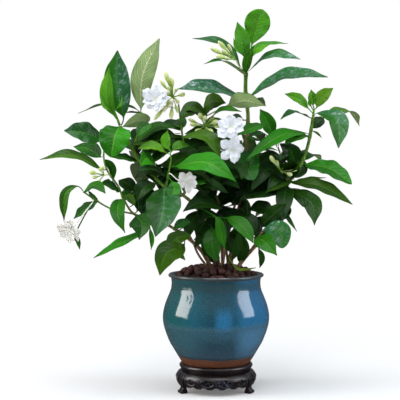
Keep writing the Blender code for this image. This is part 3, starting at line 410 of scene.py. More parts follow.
# Smaller buds of the same clusters: base, tip, radius and warmth.
MORE_BUDS = {
    "buds_left": (
        ((104, 175, -104), (92, 178, -108), 2.8, 0.2),
        ((104, 175, -104), (99, 168, -100), 2.4, 0.0),
    ),
    "buds_upper_left": (
        ((173, 97, -56), (172, 78, -60), 3.4, 0.0),
        ((173, 97, -56), (160, 80, -66), 3.2, 0.1),
        ((173, 97, -56), (168, 86, -70), 3.0, 0.0),
        ((173, 97, -56), (177, 88, -62), 2.8, 0.0),
        ((173, 97, -56), (170, 107, -74), 3.2, 0.7),
        ((173, 97, -56), (163, 112, -76), 3.0, 0.8),
        ((173, 97, -56), (178, 113, -60), 2.6, 0.1),
        ((173, 97, -56), (154, 86, -70), 3.0, 0.0),
        ((173, 97, -56), (166, 91, -74), 4.2, 0.5),
        ((173, 97, -56), (171, 102, -76), 4.2, 0.8),
        ((173, 97, -56), (158, 92, -76), 3.6, 0.0),
        ((173, 97, -56), (168, 76, -56), 4.0, 0.1),
        ((173, 97, -56), (179, 103, -66), 3.2, 0.1),
        ((173, 97, -56), (161, 106, -80), 4.2, 0.9),
    ),
    "buds_top": (
        ((236, 60, -20), (222, 50, -40), 3.4, 0.1),
        ((236, 60, -20), (228, 44, -34), 2.8, 0.0),
        ((236, 60, -20), (224, 58, -44), 3.0, 0.0),
    ),
    "buds_middle": (
        ((205, 126, -48), (205, 116, -66), 3.6, 0.2),
        ((205, 126, -48), (195, 132, -66), 3.0, 0.2),
        ((205, 126, -48), (207, 137, -74), 3.6, 0.6),
        ((205, 126, -48), (222, 126, -60), 3.4, 0.0),
        ((205, 126, -48), (214, 116, -56), 3.0, 0.0),
        ((205, 126, -48), (188, 119, -60), 2.8, 0.0),
    ),
    "buds_right": (
        ((281, 171, -24), (276, 160, -30), 3.0, 0.0),
        ((281, 171, -24), (285, 163, -30), 2.6, 0.0),
        ((281, 171, -24), (297, 170, -30), 2.6, 0.0),
    ),
}


# ---- shader arithmetic


class Field:
    """A value that changes over a surface. Arithmetic on it adds Math nodes."""

    def __init__(self, finish, socket):
        self.finish = finish
        self.socket = socket

    def math(self, operation, *others):
        return self.finish.node("ShaderNodeMath", {"operation": operation}, (self, *others))

    def __add__(self, other):
        return self.math("ADD", other)

    def __sub__(self, other):
        return self.math("SUBTRACT", other)

    def __mul__(self, other):
        return self.math("MULTIPLY", other)

    def __truediv__(self, other):
        return self.math("DIVIDE", other)

    def __pow__(self, other):
        return self.math("POWER", other)

    def __abs__(self):
        return self.math("ABSOLUTE")

    def __radd__(self, other):
        return self + other

    def __rmul__(self, other):
        return self * other

    def __rsub__(self, other):
        return self.finish.node("ShaderNodeMath", {"operation": "SUBTRACT"}, (other, self))

    def ramp(self, low, high, start=0.0, end=1.0):
        """Smooth step from start at low to end at high."""
        return self.finish.node("ShaderNodeMapRange", {"interpolation_type": "SMOOTHSTEP"},
                                (self, low, high, start, end))


class Finish:
    """A material and the nodes that give it its colour and surface."""

    def __init__(self, name, constants=()):
        self.material = bpy.data.materials.new(name)
        self.material.use_nodes = True
        self.tree = self.material.node_tree
        self.shader = self.tree.nodes["Principled BSDF"]
        for socket, value in dict(constants).items():
            self.shader.inputs[socket].default_value = value

    def node(self, kind, settings=(), values=(), out=0):
        """Add a node: its settings first, then the values or links of its sockets."""
        made = self.tree.nodes.new(kind)
        for name, value in dict(settings).items():
            if name == "stops":
                self.set_stops(made.color_ramp, value)
            else:
                setattr(made, name, value)
        pairs = values.items() if isinstance(values, dict) else enumerate(values)
        for key, value in pairs:
            if isinstance(value, Field):
                self.tree.links.new(value.socket, made.inputs[key])
            else:
                made.inputs[key].default_value = value
        return Field(self, made.outputs[out])

    def set_stops(self, ramp, stops):
        while len(ramp.elements) < len(stops):
            ramp.elements.new(0.5)
        for element, (place, colour) in zip(ramp.elements, stops):
            element.position = place
            element.color = (*colour, 1.0)

    def place(self):
        return self.node("ShaderNodeTexCoord", out=3)

    def stretched(self, scale):
        return self.node("ShaderNodeMapping", values={0: self.place(), 3: scale})

    def apart(self, vector):
        split = self.tree.nodes.new("ShaderNodeSeparateXYZ")
        self.tree.links.new(vector.socket, split.inputs[0])
        return [Field(self, socket) for socket in split.outputs]

    def noise(self, scale, detail=3.0, rough=0.5, at=None):
        values = {"Vector": at or self.place(), "Scale": scale, "Detail": detail, "Roughness": rough}
        return self.node("ShaderNodeTexNoise", values=values)

    def cells(self, scale, feature="F1", at=None):
        return self.node("ShaderNodeTexVoronoi", {"feature": feature},
                         {"Vector": at or self.place(), "Scale": scale})

    def mix(self, share, first, second):
        """Colour between two colours."""
        first, second = (c if isinstance(c, Field) else (*c, 1.0) for c in (first, second))
        return self.node("ShaderNodeMix", {"data_type": "RGBA"}, {0: share, 6: first, 7: second}, 2)

    def mark(self, name):
        """A number stored on the mesh under that name."""
        return self.node("ShaderNodeAttribute", {"attribute_name": name}, out=2)

    def marks(self, name):
        """Three numbers stored on the mesh under that name."""
        return self.apart(self.node("ShaderNodeAttribute", {"attribute_name": name}, out=1))

    def blade(self):
        """Place across (0 and 1 at the edges) and along a blade."""
        across, along, _ = self.apart(self.node("ShaderNodeUVMap", {"uv_map": "Blade"}))
        return across, along

    def surface(self, colour=None, rough=None, bumps=(), coat=None):
        """Wire up the shader. Each bump is (height, distance in metres)."""
        wires = {"Base Color": colour, "Roughness": rough, "Coat Weight": coat}
        normal = None
        for height, distance in bumps:
            values = {"Distance": distance, "Height": height}
            if normal:
                values["Normal"] = normal
            normal = self.node("ShaderNodeBump", values=values)
        wires["Normal"] = normal
        for socket, field in wires.items():
            if field is not None:
                self.tree.links.new(field.socket, self.shader.inputs[socket])
        return self.material


# ---- finishes

VEINS = 9.0


def leaf_finish(name, dark, bright, olive, rough):
    """Glossy blade with a pale midrib and arched side veins, paler beneath, with painted shade (on one half, beside
    the veins, on leaves deep in the shrub) and painted sky reflections and glints.
    """
    f = Finish(name, {"Coat Roughness": 0.10, "Specular IOR Level": 0.16})
    across, along = f.blade()
    side = abs(across * 2.0 - 1.0)
    # The first tone number sets brightness, and its low values are painted shade. The third is painted sky
    # reflection.
    brightness_and_shade, yellow, shine = f.marks("tone")
    under = f.mark("under")
    phase = along * VEINS - (side ** 1.4) * 2.1 + f.noise(60.0, 1.0) * 0.5
    near = abs(phase.math("FRACT") - 0.5) * 2.0
    vein = near.ramp(0.80, 1.0) * side.ramp(0.92, 0.35)
    rib = side.ramp(0.10, 0.03)
    swell = near.ramp(1.0, 0.25)
    patch = f.noise(22.0, 3.0)
    fine = f.noise(170.0, 3.0, 0.6)
    colour = f.mix(brightness_and_shade * (0.9 + (patch - 0.5) * 1.2), dark, bright)
    colour = f.mix(yellow * (brightness_and_shade * 0.75 + 0.35) + (patch - 0.5) * 0.2, colour, olive)
    # One half of the blade darker in broad patches: painted shade.
    colour = f.mix(across.ramp(0.46, 0.54) * f.noise(7.0, 0.0).ramp(0.40, 0.60) * 0.5, colour, dark)
    # Lighter on the bulges between the veins: painted highlight.
    colour = f.mix(swell * brightness_and_shade * 0.16, colour, bright)
    colour = f.mix((vein * 0.14 + rib * 0.55) * (brightness_and_shade * 0.8 + 0.12), colour, (0.16, 0.42, 0.035))
    # Blue-green haze in patches: painted sky reflection.
    sky = f.noise(11.0, 2.0).ramp(0.44, 0.60)
    colour = f.mix(shine * (sky * 0.35 + 0.15), colour, (0.040, 0.19, 0.11))
    # Broken pale marks between the veins: painted glints. The same mask also sets the coat.
    broken = f.noise(120.0, 4.0, 0.75).ramp(0.50, 0.60) * near.ramp(0.95, 0.55)
    glint = shine * broken * (sky * 0.8 + 0.2)
    colour = f.mix(glint * 0.42, colour, (0.56, 0.74, 0.78))
    # Beneath: lighter on the bulges and darker beside the veins, as painted highlight and painted shade.
    pale = f.mix(fine * 0.3 + swell * 0.7, (0.15, 0.25, 0.07), (0.34, 0.48, 0.19))
    pale = f.mix(near.ramp(0.70, 1.0) * side.ramp(1.0, 0.5) * 0.85 + rib * 0.9, pale, (0.60, 0.70, 0.38))
    pale = f.mix(yellow * 0.6, pale, (0.09, 0.13, 0.02))
    # Undersides of low-brightness leaves darkened: painted shade.
    pale = f.mix(brightness_and_shade * -0.9 + 0.88, pale, (0.018, 0.050, 0.008))
    colour = f.mix(under, colour, pale)
    gloss = rough + fine * 0.12 + under * 0.25 - shine * 0.08
    relief = (under * 2.4 - 1.0) * (vein * 0.6 + rib * 1.2) + swell * 0.35
    return f.surface(colour, gloss, ((relief, 0.0004),), coat=glint * 0.9 + shine * 0.2 + 0.04)


def petal_finish():
    """White petal with fine lengthwise folds, greenish at its foot, with blue-grey painted shade in the folds."""
    f = Finish("petal", {"Specular IOR Level": 0.2})
    across, along = f.blade()
    warm, _, _ = f.marks("tone")
    folds = f.noise(1.0, 3.0, 0.6, at=f.node("ShaderNodeCombineXYZ", values=(across * 14.0, along * 2.5)))
    # Blue-grey in the fold hollows: painted shade.
    colour = f.mix(folds.ramp(0.3, 0.6), (0.76, 0.83, 0.95), (0.97, 0.98, 1.0))
    colour = f.mix(warm * folds.ramp(0.65, 0.35) + warm * 0.35, colour, (0.93, 0.86, 0.68))
    colour = f.mix(along.ramp(0.26, 0.05), colour, (0.80, 0.82, 0.45))
    edge = f.noise(90.0, 2.0).ramp(0.62, 0.75) * warm
    colour = f.mix(edge * 0.5, colour, (0.62, 0.44, 0.22))
    return f.surface(colour, folds * 0.2 + 0.5, ((folds, 0.00035),))


def bud_finish():
    """Smooth spiral buds: green tube, yellow-green to cream head."""
    f = Finish("bud", {"Specular IOR Level": 0.3})
    _, along = f.blade()
    patch = f.noise(120.0, 2.0)
    warm, _, _ = f.marks("tone")
    colour = f.mix(along.ramp(0.15, 0.55), (0.20, 0.40, 0.03), (0.56, 0.68, 0.20))
    colour = f.mix(along.ramp(0.55, 0.95), colour, (0.80, 0.86, 0.46))
    colour = f.mix(patch.ramp(0.45, 0.7) * 0.4, colour, (0.93, 0.92, 0.72))
    colour = f.mix(warm * along.ramp(0.4, 0.7), colour, (0.92, 0.82, 0.68))
    return f.surface(colour, patch * 0.2 + 0.35, ((patch, 0.0003),))


def bark_finish():
    """Brown bark with corky flecks, that turns into smooth green shoots."""
    f = Finish("bark", {"Specular IOR Level": 0.25})
    young = f.mark("young")
    streak = f.noise(1.0, 5.0, 0.65, at=f.stretched((420.0, 420.0, 60.0)))
    fleck = f.cells(330.0)
    brown = f.mix(streak.ramp(0.3, 0.7), (0.085, 0.050, 0.024), (0.32, 0.20, 0.105))
    brown = f.mix(fleck.ramp(0.26, 0.10) * 0.6, brown, (0.46, 0.36, 0.24))
    green = f.mix(streak.ramp(0.35, 0.7), (0.055, 0.14, 0.008), (0.15, 0.30, 0.025))
    colour = f.mix(young, brown, green)
    rough = 0.82 - young * 0.40
    cork = (streak + fleck * 0.5) * (1.0 - young * 0.85)
    return f.surface(colour, rough, ((cork, 0.0009),))


def glaze_finish():
    """Blue-green speckled glaze that thins at the lip and stops above bare clay, with reflections of the room painted
    into its colour.
    """
    f = Finish("glazed_stoneware", {"Coat Roughness": 0.04, "IOR": 1.52})
    x, _, height = f.apart(f.place())
    drift = f.noise(16.0, 3.0)
    speckle = f.noise(620.0, 3.0, 0.7)
    spots = f.cells(260.0).ramp(0.22, 0.08)
    level = height + (drift - 0.5) * 0.006
    # The glaze's blue-green, teal on the left and bluer on the right: that side-to-side change is painted reflection
    # of the room.
    body = f.mix((x * 7.0 + 0.42 + (drift - 0.5) * 0.5), (0.008, 0.098, 0.106), (0.022, 0.165, 0.370))
    greyed = f.mix(drift, (0.030, 0.075, 0.100), (0.050, 0.110, 0.150))
    # Darker down the middle of front and back, above the belly: painted reflection of the dark room.
    middle = x.ramp(-0.045, -0.005) * x.ramp(0.048, 0.022)
    body = f.mix(middle * level.ramp(0.100, 0.125) * 0.8, body, (0.006, 0.042, 0.056))
    # Greyer below the belly: painted reflection of the floor.
    body = f.mix(level.ramp(0.116, 0.108) * 0.75, body, greyed)
    # Darker down the middle below the belly as well: painted reflection of the dark room.
    body = f.mix(middle * level.ramp(0.104, 0.085) * 0.7, body, (0.016, 0.034, 0.052))
    # Paler blue low on the right: painted reflection.
    body = f.mix(x.ramp(0.024, 0.052) * level.ramp(0.120, 0.100) * 0.85, body, (0.075, 0.200, 0.350))
    # A brighter blue patch right of the middle, on and above the belly: painted reflection.
    painted_blue_reflection = x.ramp(-0.006, 0.006) * x.ramp(0.032, 0.018) * level.ramp(0.104, 0.116) * level.ramp(0.152, 0.128)
    body = f.mix(painted_blue_reflection * 0.75, body, (0.026, 0.200, 0.430))
    # Lighter band just under the widest part: painted reflection.
    reflected_band = level.ramp(0.106, 0.111) * level.ramp(0.120, 0.112)
    body = f.mix(reflected_band * 0.35, body, (0.075, 0.150, 0.180))
    # Greyer blue towards the foot: painted reflection of the floor as well.
    body = f.mix(level.ramp(0.085, 0.062) * 0.5, body, (0.040, 0.062, 0.092))
    body = f.mix(speckle.ramp(0.40, 0.66) * 0.45, body, (0.004, 0.035, 0.045))
    body = f.mix(speckle.ramp(0.52, 0.34) * 0.22, body, (0.06, 0.19, 0.23))
    neck = level.ramp(0.164, 0.172) * level.ramp(0.187, 0.179)
    body = f.mix(neck * 0.6, body, (0.036, 0.070, 0.072))
    lip = level.ramp(0.1845, 0.1875)
    worn = f.mix(f.noise(70.0, 4.0, 0.7), (0.020, 0.026, 0.030), (0.095, 0.090, 0.080))
    body = f.mix(lip * 0.85, body, worn)
    body = f.mix(spots * 0.35, body, (0.01, 0.02, 0.025))
    clay = f.mix(f.noise(140.0, 5.0, 0.7), (0.042, 0.010, 0.002), (0.200, 0.054, 0.011))
    bare = level.ramp(0.0595, 0.0575)
    edge = level.ramp(0.0640, 0.0600) * (1.0 - bare)
    body = f.mix(edge * 0.6, body, (0.015, 0.020, 0.030))
    colour = f.mix(bare, body, clay)
    rough = bare * 0.62 + 0.09 + speckle * 0.05 + lip * 0.12
    grain = f.noise(900.0, 3.0, 0.7) * (bare * 2.0 + 0.12)
    ripple = f.noise(34.0, 2.0)
    return f.surface(colour, rough, ((grain, 0.00025), (ripple, 0.0012)), coat=(1.0 - bare) * 0.9)


def wood_finish():
    """Near-black stained wood under satin lacquer, with painted blue glints on the carving.
    The bare ring behind the aprons is painted orange-brown where light falls on it through the side openings, and
    darker in its middle as painted shade."""
    f = Finish("dark_wood", {"Coat Roughness": 0.20})
    x, y, height = f.apart(f.place())
    grain = f.noise(1.0, 5.0, 0.7, at=f.stretched((60.0, 60.0, 700.0)))
    pores = f.noise(1.0, 2.0, 0.8, at=f.stretched((240.0, 240.0, 1800.0)))
    cloud = f.noise(45.0, 3.0)
    raised, _, _ = f.marks("tone")
    colour = f.mix(grain.ramp(0.35, 0.68), (0.004, 0.0025, 0.003), (0.022, 0.011, 0.010))
    colour = f.mix(cloud.ramp(0.5, 0.75) * 0.5, colour, (0.014, 0.012, 0.022))
    # Blue on the raised carving: painted glints.
    colour = f.mix(raised * cloud.ramp(0.38, 0.62) * 0.7, colour, (0.034, 0.036, 0.066))
    colour = f.mix(pores.ramp(0.62, 0.75) * 0.6, colour, (0.002, 0.0015, 0.0015))
    reach = (x * x + y * y) ** 0.5
    # Ring behind the aprons: its orange-brown is painted light where it shows through the side openings, and it is
    # darker in the middle as painted shade.
    ring = reach.ramp(0.0549, 0.0543) * height.ramp(0.031, 0.028)
    ring_light_and_shade = f.mix(grain, (0.060, 0.022, 0.008), (0.260, 0.105, 0.035))
    ring_light_and_shade = f.mix(abs(x).ramp(0.030, 0.020), ring_light_and_shade, (0.012, 0.006, 0.004))
    colour = f.mix(ring, colour, ring_light_and_shade)
    rough = grain * 0.2 + 0.20 + ring * 0.4
    return f.surface(colour, rough, ((grain, 0.0003), (pores, 0.00015)), coat=cloud * 0.7 * (1.0 - ring))


def pellet_finish():
    """Baked clay: matt maroon-brown skin, pitted, each pellet its own shade."""
    f = Finish("expanded_clay", {"Specular IOR Level": 0.3})
    shade, rust, _ = f.marks("tone")
    pits = f.cells(700.0)
    crumb = f.noise(480.0, 4.0, 0.7)
    colour = f.mix(shade, (0.018, 0.006, 0.006), (0.110, 0.042, 0.038))
    colour = f.mix(rust * 0.6, colour, (0.085, 0.034, 0.018))
    colour = f.mix(crumb.ramp(0.5, 0.75) * 0.4, colour, (0.19, 0.11, 0.10))
    colour = f.mix(pits.ramp(0.25, 0.08) * 0.7, colour, (0.010, 0.005, 0.005))
    return f.surface(colour, crumb * 0.25 + 0.6, ((pits, 0.0006), (crumb, 0.0004)))


def soil_finish():
    """Dark crumbly soil."""
    f = Finish("potting_soil")
    crumb = f.noise(260.0, 6.0, 0.75)
    fleck = f.cells(420.0)
    colour = f.mix(crumb.ramp(0.35, 0.7), (0.010, 0.007, 0.005), (0.060, 0.040, 0.025))
    colour = f.mix(fleck.ramp(0.18, 0.06) * 0.5, colour, (0.16, 0.12, 0.08))
    return f.surface(colour, crumb * 0.2 + 0.75, ((crumb, 0.0015),))


def floor_finish():
    """Pale matt floor that gives off faint light in the middle and turns into the white surround at its rim, where it
    shines white.
    """
    f = Finish("pale_floor", {"Emission Strength": 1.0})
    cloud = f.noise(3.0, 2.0)
    x, y, _ = f.apart(f.place())
    reach = (x * x + y * y) ** 0.5
    rim = reach.ramp(0.10, FLOOR_R * 0.92)
    colour = f.mix(rim, (0.80, 0.80, 0.80), (0.0, 0.0, 0.0))
    light = f.mix(rim, (0.14, 0.14, 0.14), (1.0, 1.0, 1.0))
    f.tree.links.new(light.socket, f.shader.inputs["Emission Color"])
    return f.surface(colour, cloud * 0.1 + 0.85)


def surround_finish():
    """Even white of the surround."""
    f = Finish("white_surround", {"Emission Strength": 1.0, "Base Color": (0.0, 0.0, 0.0, 1.0)})
    light = f.mix(f.noise(0.5, 1.0), (1.0, 1.0, 1.0), (0.99, 0.99, 0.99))
    f.tree.links.new(light.socket, f.shader.inputs["Emission Color"])
    return f.material


# ---- shapes


def sight(column, row, depth):
    """Place of a point of the front view at the given depth, in millimetres."""
    reach = (EYE_DISTANCE + depth) / EYE_DISTANCE
    across = (column - AXIS_COLUMN) * SHEET_STEP
    up = (FLOOR_ROW - row) * SHEET_STEP
    return Vector((across * reach, depth, EYE_HEIGHT + (up - EYE_HEIGHT) * reach))


def smooth_run(points, steps):
    """Points along a smooth curve through the given points."""
    run = []
    last = len(points) - 1
    for i in range(last):
        before = points[max(i - 1, 0)]
        after = points[min(i + 2, last)]
        a = points[i]
        b = points[i + 1]
        lift_a = (b - before) * 0.5
        lift_b = (after - a) * 0.5
        for step in range(steps):
            t = step / steps
            run.append(a * (2 * t**3 - 3 * t**2 + 1) + lift_a * (t**3 - 2 * t**2 + t)
                       + b * (3 * t**2 - 2 * t**3) + lift_b * (t**3 - t**2))
    run.append(points[last])
    return run


def length_of(run):
    return sum((b - a).length for a, b in zip(run, run[1:]))


def walk(run, distance):
    """Point and direction at a distance along a run of points."""
    for a, b in zip(run, run[1:]):
        step = (b - a).length
        if distance <= step:
            break
        distance -= step
    return a.lerp(b, min(distance / step, 1.0)), (b - a).normalized()


def carried(directions, facing, middle):
    """Facing of each row of a blade, carried along the midrib from the middle."""
    normals = {}
    for order in (range(middle, len(directions)), range(middle, -1, -1)):
        normal = facing
        for row in order:
            along = directions[row]
            normal = (normal - along * normal.dot(along)).normalized()
            normals[row] = normal
    return normals


def fresh():
    """Empty mesh in the making, with the layers that the finishes read."""
    work = bmesh.new()
    work.loops.layers.uv.new("Blade")
    work.verts.layers.float_vector.new("tone")
    work.verts.layers.float.new("young")
    work.faces.layers.float.new("under")
    return work


def finished(name, work, finish, slot, replaced=(), rounds=0):
    """Turn a mesh in the making, in millimetres, into a piece of the shrub."""
    mesh = bpy.data.meshes.new(name)
    bmesh.ops.scale(work, vec=(MM, MM, MM), verts=work.verts)
    if slot != "petal":
        bmesh.ops.recalc_face_normals(work, faces=work.faces)
    work.to_mesh(mesh)
    work.free()
    mesh.polygons.foreach_set("use_smooth", [True] * len(mesh.polygons))
    mesh.materials.append(finish)
    piece = bpy.data.objects.new(name, mesh)
    SCENE.collection.objects.link(piece)
    if rounds:
        rounding = piece.modifiers.new("Rounding", "SUBSURF")
        rounding.levels = rounds
        rounding.render_levels = rounds
    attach(piece, "root")
    if replaced:
        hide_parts(*replaced)
    return piece


def sheet_faces(work, columns, rows, shape, tone, thick, sheen=0):
    """Add a thin blade: shape(side, share) gives each point and its facing. Sheen
    1 or -1 leaves the sky shine out of the other half."""
    grid = bmesh.ops.create_grid(work, x_segments=columns, y_segments=rows, size=1.0)["verts"]
    uv = work.loops.layers.uv["Blade"]
    tones = work.verts.layers.float_vector["tone"]
    under = work.faces.layers.float["under"]
    faces = list({face for vertex in grid for face in vertex.link_faces})
    spots = {}
    for vertex in grid:
        side = vertex.co.x
        share = (vertex.co.y + 1.0) / 2
        vertex.co, facing = shape(side, share)
        vertex[tones] = tone if side * sheen >= 0 else (tone[0], tone[1], 0.0)
        spots[vertex] = (side, share, facing)
    for face in faces:
        for loop in face.loops:
            side, share, _ = spots[loop.vert]
            loop[uv].uv = ((side + 1.0) / 2, share)
    work.normal_update()
    turned = [face for face in faces if face.normal.dot(spots[face.verts[0]][2]) < 0]
    bmesh.ops.reverse_faces(work, faces=turned)
    work.normal_update()
    before = set(work.faces)
    bmesh.ops.solidify(work, geom=faces, thickness=thick)
    work.normal_update()
    tree = {vertex: spot[2] for vertex, spot in spots.items()}
    for face in set(work.faces) - before:
        near = [tree[vertex] for vertex in face.verts if vertex in tree]
        if not near:
            face[under] = 1.0
    return faces


def half_share(share, widest, fullness, drip):
    """Half width of a blade at a share of its length, as a share of the widest."""
    if not 0.0 < share < 1.0:
        return 0.0
    swell = math.sin(math.pi * share**widest) ** fullness
    return swell * (1.0 - drip * max(0.0, share - DRIP_START) / (1.0 - DRIP_START))


def leaf_into(work, points, width, lean, tone, dice, rows=20, sheen=0, outline=POINTED, columns=6):
    """Add a leaf: a stalk from the first point to the second, then the blade."""
    run = smooth_run(points, 12)
    total = length_of(run)
    stalk = (points[1] - points[0]).length / total
    stalk_rows = 3
    reaches = [stalk * row / stalk_rows for row in range(stalk_rows)]
    reaches += [stalk + (1.0 - stalk) * row / (rows - stalk_rows) for row in range(rows - stalk_rows + 1)]
    spine = [walk(run, reach * total) for reach in reaches]
    turn = math.radians(lean)
    facing = Vector((0.0, -math.sin(turn), math.cos(turn)))
    normals = carried([along for _, along in spine], facing, len(spine) // 2)
    waves = dice.uniform(2.2, 3.6)
    start = dice.uniform(0.0, 6.28), dice.uniform(0.0, 6.28)
    height = dice.uniform(0.05, 0.11)

    def shape(side, share):
        row = round(share * rows)
        middle, along = spine[row]
        normal = normals[row]
        blade = max(0.0, (row - stalk_rows) / (rows - stalk_rows))
        least = PETIOLE_HALF if row <= stalk_rows else LEAF_TIP_HALF
        half = max(least, width / 2 * half_share(blade, *outline))
        across = along.cross(normal)
        edge = abs(side)
        wave = math.sin(2 * math.pi * waves * blade + start[side > 0]) * edge * edge * height
        rise = LEAF_FOLD * (1.5 * edge - 0.5 * edge * edge) + wave
        return middle + across * side * half + normal * rise * half, normal

    faces = sheet_faces(work, columns, rows, shape, tone, LEAF_THICK, sheen)
    uv = work.loops.layers.uv["Blade"]
    share = stalk_rows / rows
    for face in faces:
        for loop in face.loops:
            along = (loop[uv].uv.y - share) / (1.0 - share)
            loop[uv].uv.y = along


def rod_into(work, points, radii, sides=10, young=None, tone=None, ridges=None):
    """Add a round rod through the points, with closed ends."""
    uv = work.loops.layers.uv["Blade"]
    marks = work.verts.layers.float["young"]
    tones = work.verts.layers.float_vector["tone"]
    last = len(points) - 1
    directions = []
    for i in range(last + 1):
        directions.append((points[min(i + 1, last)] - points[max(i - 1, 0)]).normalized())
    first = directions[0].orthogonal().normalized()
    normals = carried(directions, first, 0)
    ring = bmesh.ops.create_circle(work, cap_ends=True, segments=sides, radius=1.0)["verts"]
    shapes = [(math.cos(2 * math.pi * k / sides), math.sin(2 * math.pi * k / sides)) for k in range(sides)]
    order = sorted(ring, key=lambda vertex: math.atan2(vertex.co.y, vertex.co.x) % (2 * math.pi))
    edges = [edge for edge in ring[0].link_faces[0].edges]
    rings = [order]
    for i in range(1, last + 1):
        wider = bmesh.ops.extrude_edge_only(work, edges=edges)["geom"]
        edges = [part for part in wider if isinstance(part, bmesh.types.BMEdge)]
        fresh_verts = [part for part in wider if isinstance(part, bmesh.types.BMVert)]
        fresh_verts.sort(key=lambda vertex: math.atan2(vertex.co.y, vertex.co.x) % (2 * math.pi))
        rings.append(fresh_verts)
    bmesh.ops.contextual_create(work, geom=edges)
    for i, verts in enumerate(rings):
        across = directions[i].cross(normals[i])
        for k, vertex in enumerate(verts):
            c, s = shapes[k]
            radius = radii[i]
            if ridges:
                count, depth, twist = ridges
                angle = 2 * math.pi * k / sides + twist * i / last
                radius *= 1.0 + depth * math.cos(count * angle)
            vertex.co = points[i] + (normals[i] * c + across * s) * radius
            vertex[marks] = young[i] if young else 0.0
            vertex[tones] = tone or (0.0, 0.0, 0.0)
    rank = {vertex: i / last for i, verts in enumerate(rings) for vertex in verts}
    faces = {face for verts in rings for vertex in verts for face in vertex.link_faces}
    for face in faces:
        for loop in face.loops:
            loop[uv].uv = (0.5, rank[loop.vert])
    bmesh.ops.recalc_face_normals(work, faces=list(faces))


def turned_into(work, profile, steps):
    """Add a shape turned round the Z axis from (radius, height) points."""
    verts = [work.verts.new((radius, 0.0, height)) for radius, height in profile]
    edges = [work.edges.new(pair) for pair in zip(verts, verts[1:])]
    bmesh.ops.spin(work, geom=verts + edges, axis=(0, 0, 1), cent=(0, 0, 0),
                   angle=2 * math.pi, steps=steps, use_merge=True)
    bmesh.ops.remove_doubles(work, verts=work.verts, dist=0.0001)
    bmesh.ops.recalc_face_normals(work, faces=work.faces)


# ---- layout

RUNS = {}
SEATS = []


def stem_runs(branches):
    runs = []
    for branch in branches:
        knots = [Vector((*sight(column, row, depth), radius)) for column, row, depth, radius in branch]
        runs.append([(Vector(knot[:3]), knot[3]) for knot in smooth_run(knots, 2)])
    return runs


def nearest_twig(point, stems):
    best = None
    for name in stems:
        for run in RUNS[name]:
            for (a, radius_a), (b, radius_b) in zip(run, run[1:]):
                along = b - a
                share = max(0.0, min(1.0, (point - a).dot(along) / along.length_squared))
                near = a + along * share
                radius = radius_a + (radius_b - radius_a) * share
                distance = (point - near).length - radius
                if best is None or distance < best[0]:
                    best = (distance, near, radius, along)
    return best


def seat(base, toward):
    """Start, just clear of the nearest twig, of something that grows from it."""
    distance, near, radius, along = nearest_twig(base, RUNS)
    out = base - near if distance > NEAR_TWIG else toward - near
    out = out - along * (out.dot(along) / along.length_squared)
    SEATS.append(near)
    return near + out.normalized() * (radius + TWIG_CLEAR)


def stem_end(point):
    ends = [run[-1] for runs in RUNS.values() for run in runs]
    return min(ends, key=lambda end: (end[0] - point).length)


def mound_height(x, y):
    share = min(math.hypot(x, y) / MOUND_EDGE_R, 1.0)
    return MOUND_EDGE_Z + (MOUND_TOP_Z - MOUND_EDGE_Z) * (1 - share**MOUND_SWELL)


# ---- pieces


def make_leaves(finish):
    for number, (name, spec) in enumerate(LEAVES.items()):
        base, middle, tip, width, lean, tone, sheen = spec
        dice = random.Random(100 + number)
        work = fresh()
        run = [sight(*base), sight(*middle), sight(*tip)]
        outline = BLUNT if name in BLUNT_LEAVES else POINTED
        leaf_into(work, [seat(run[0], run[1]), *run], width, lean, tone, dice, 26, sheen, outline=outline)
        finished(name + "_blade", work, finish, "leaf", [name], 1)
    for number, (name, specs) in enumerate(MORE_LEAVES.items()):
        dice = random.Random(200 + number)
        work = fresh()
        for base, middle, tip, width, lean, tone, sheen in specs:
            run = [sight(*base), sight(*middle), sight(*tip)]
            leaf_into(work, [seat(run[0], run[1]), *run], width, lean, tone, dice, 18, sheen)
        finished(name, work, finish, "leaf", (), 1)


def make_fallen_leaf(finish):
    """Curled yellowed leaf that has dropped on the pellets."""
    work = fresh()
    run = [sight(228.5, 256.0, -26), sight(231.5, 262, -33), sight(240, 269.5, -37.5), sight(257, 267.5, -38)]
    leaf_into(work, run, 4.8, 62, (1.0, 1.0, 0.0), random.Random(31), 18)
    finished("fallen_leaf", work, finish, "leaf", (), 1)


def inside(place, outline):
    """Whether a (column, row) place lies inside a closed outline."""
    x, y = place
    within = False
    for (x1, y1), (x2, y2) in zip(outline, outline[1:] + outline[:1]):
        if (y1 > y) != (y2 > y) and x < (x2 - x1) * (y - y1) / (y2 - y1) + x1:
            within = not within
    return within


def on_sheet(point):
    """Column and row at which a point is seen from the front."""
    reach = (EYE_DISTANCE + point.y) / EYE_DISTANCE
    up = EYE_HEIGHT + (point.z - EYE_HEIGHT) / reach
    return AXIS_COLUMN + point.x / reach / SHEET_STEP, FLOOR_ROW - up / SHEET_STEP


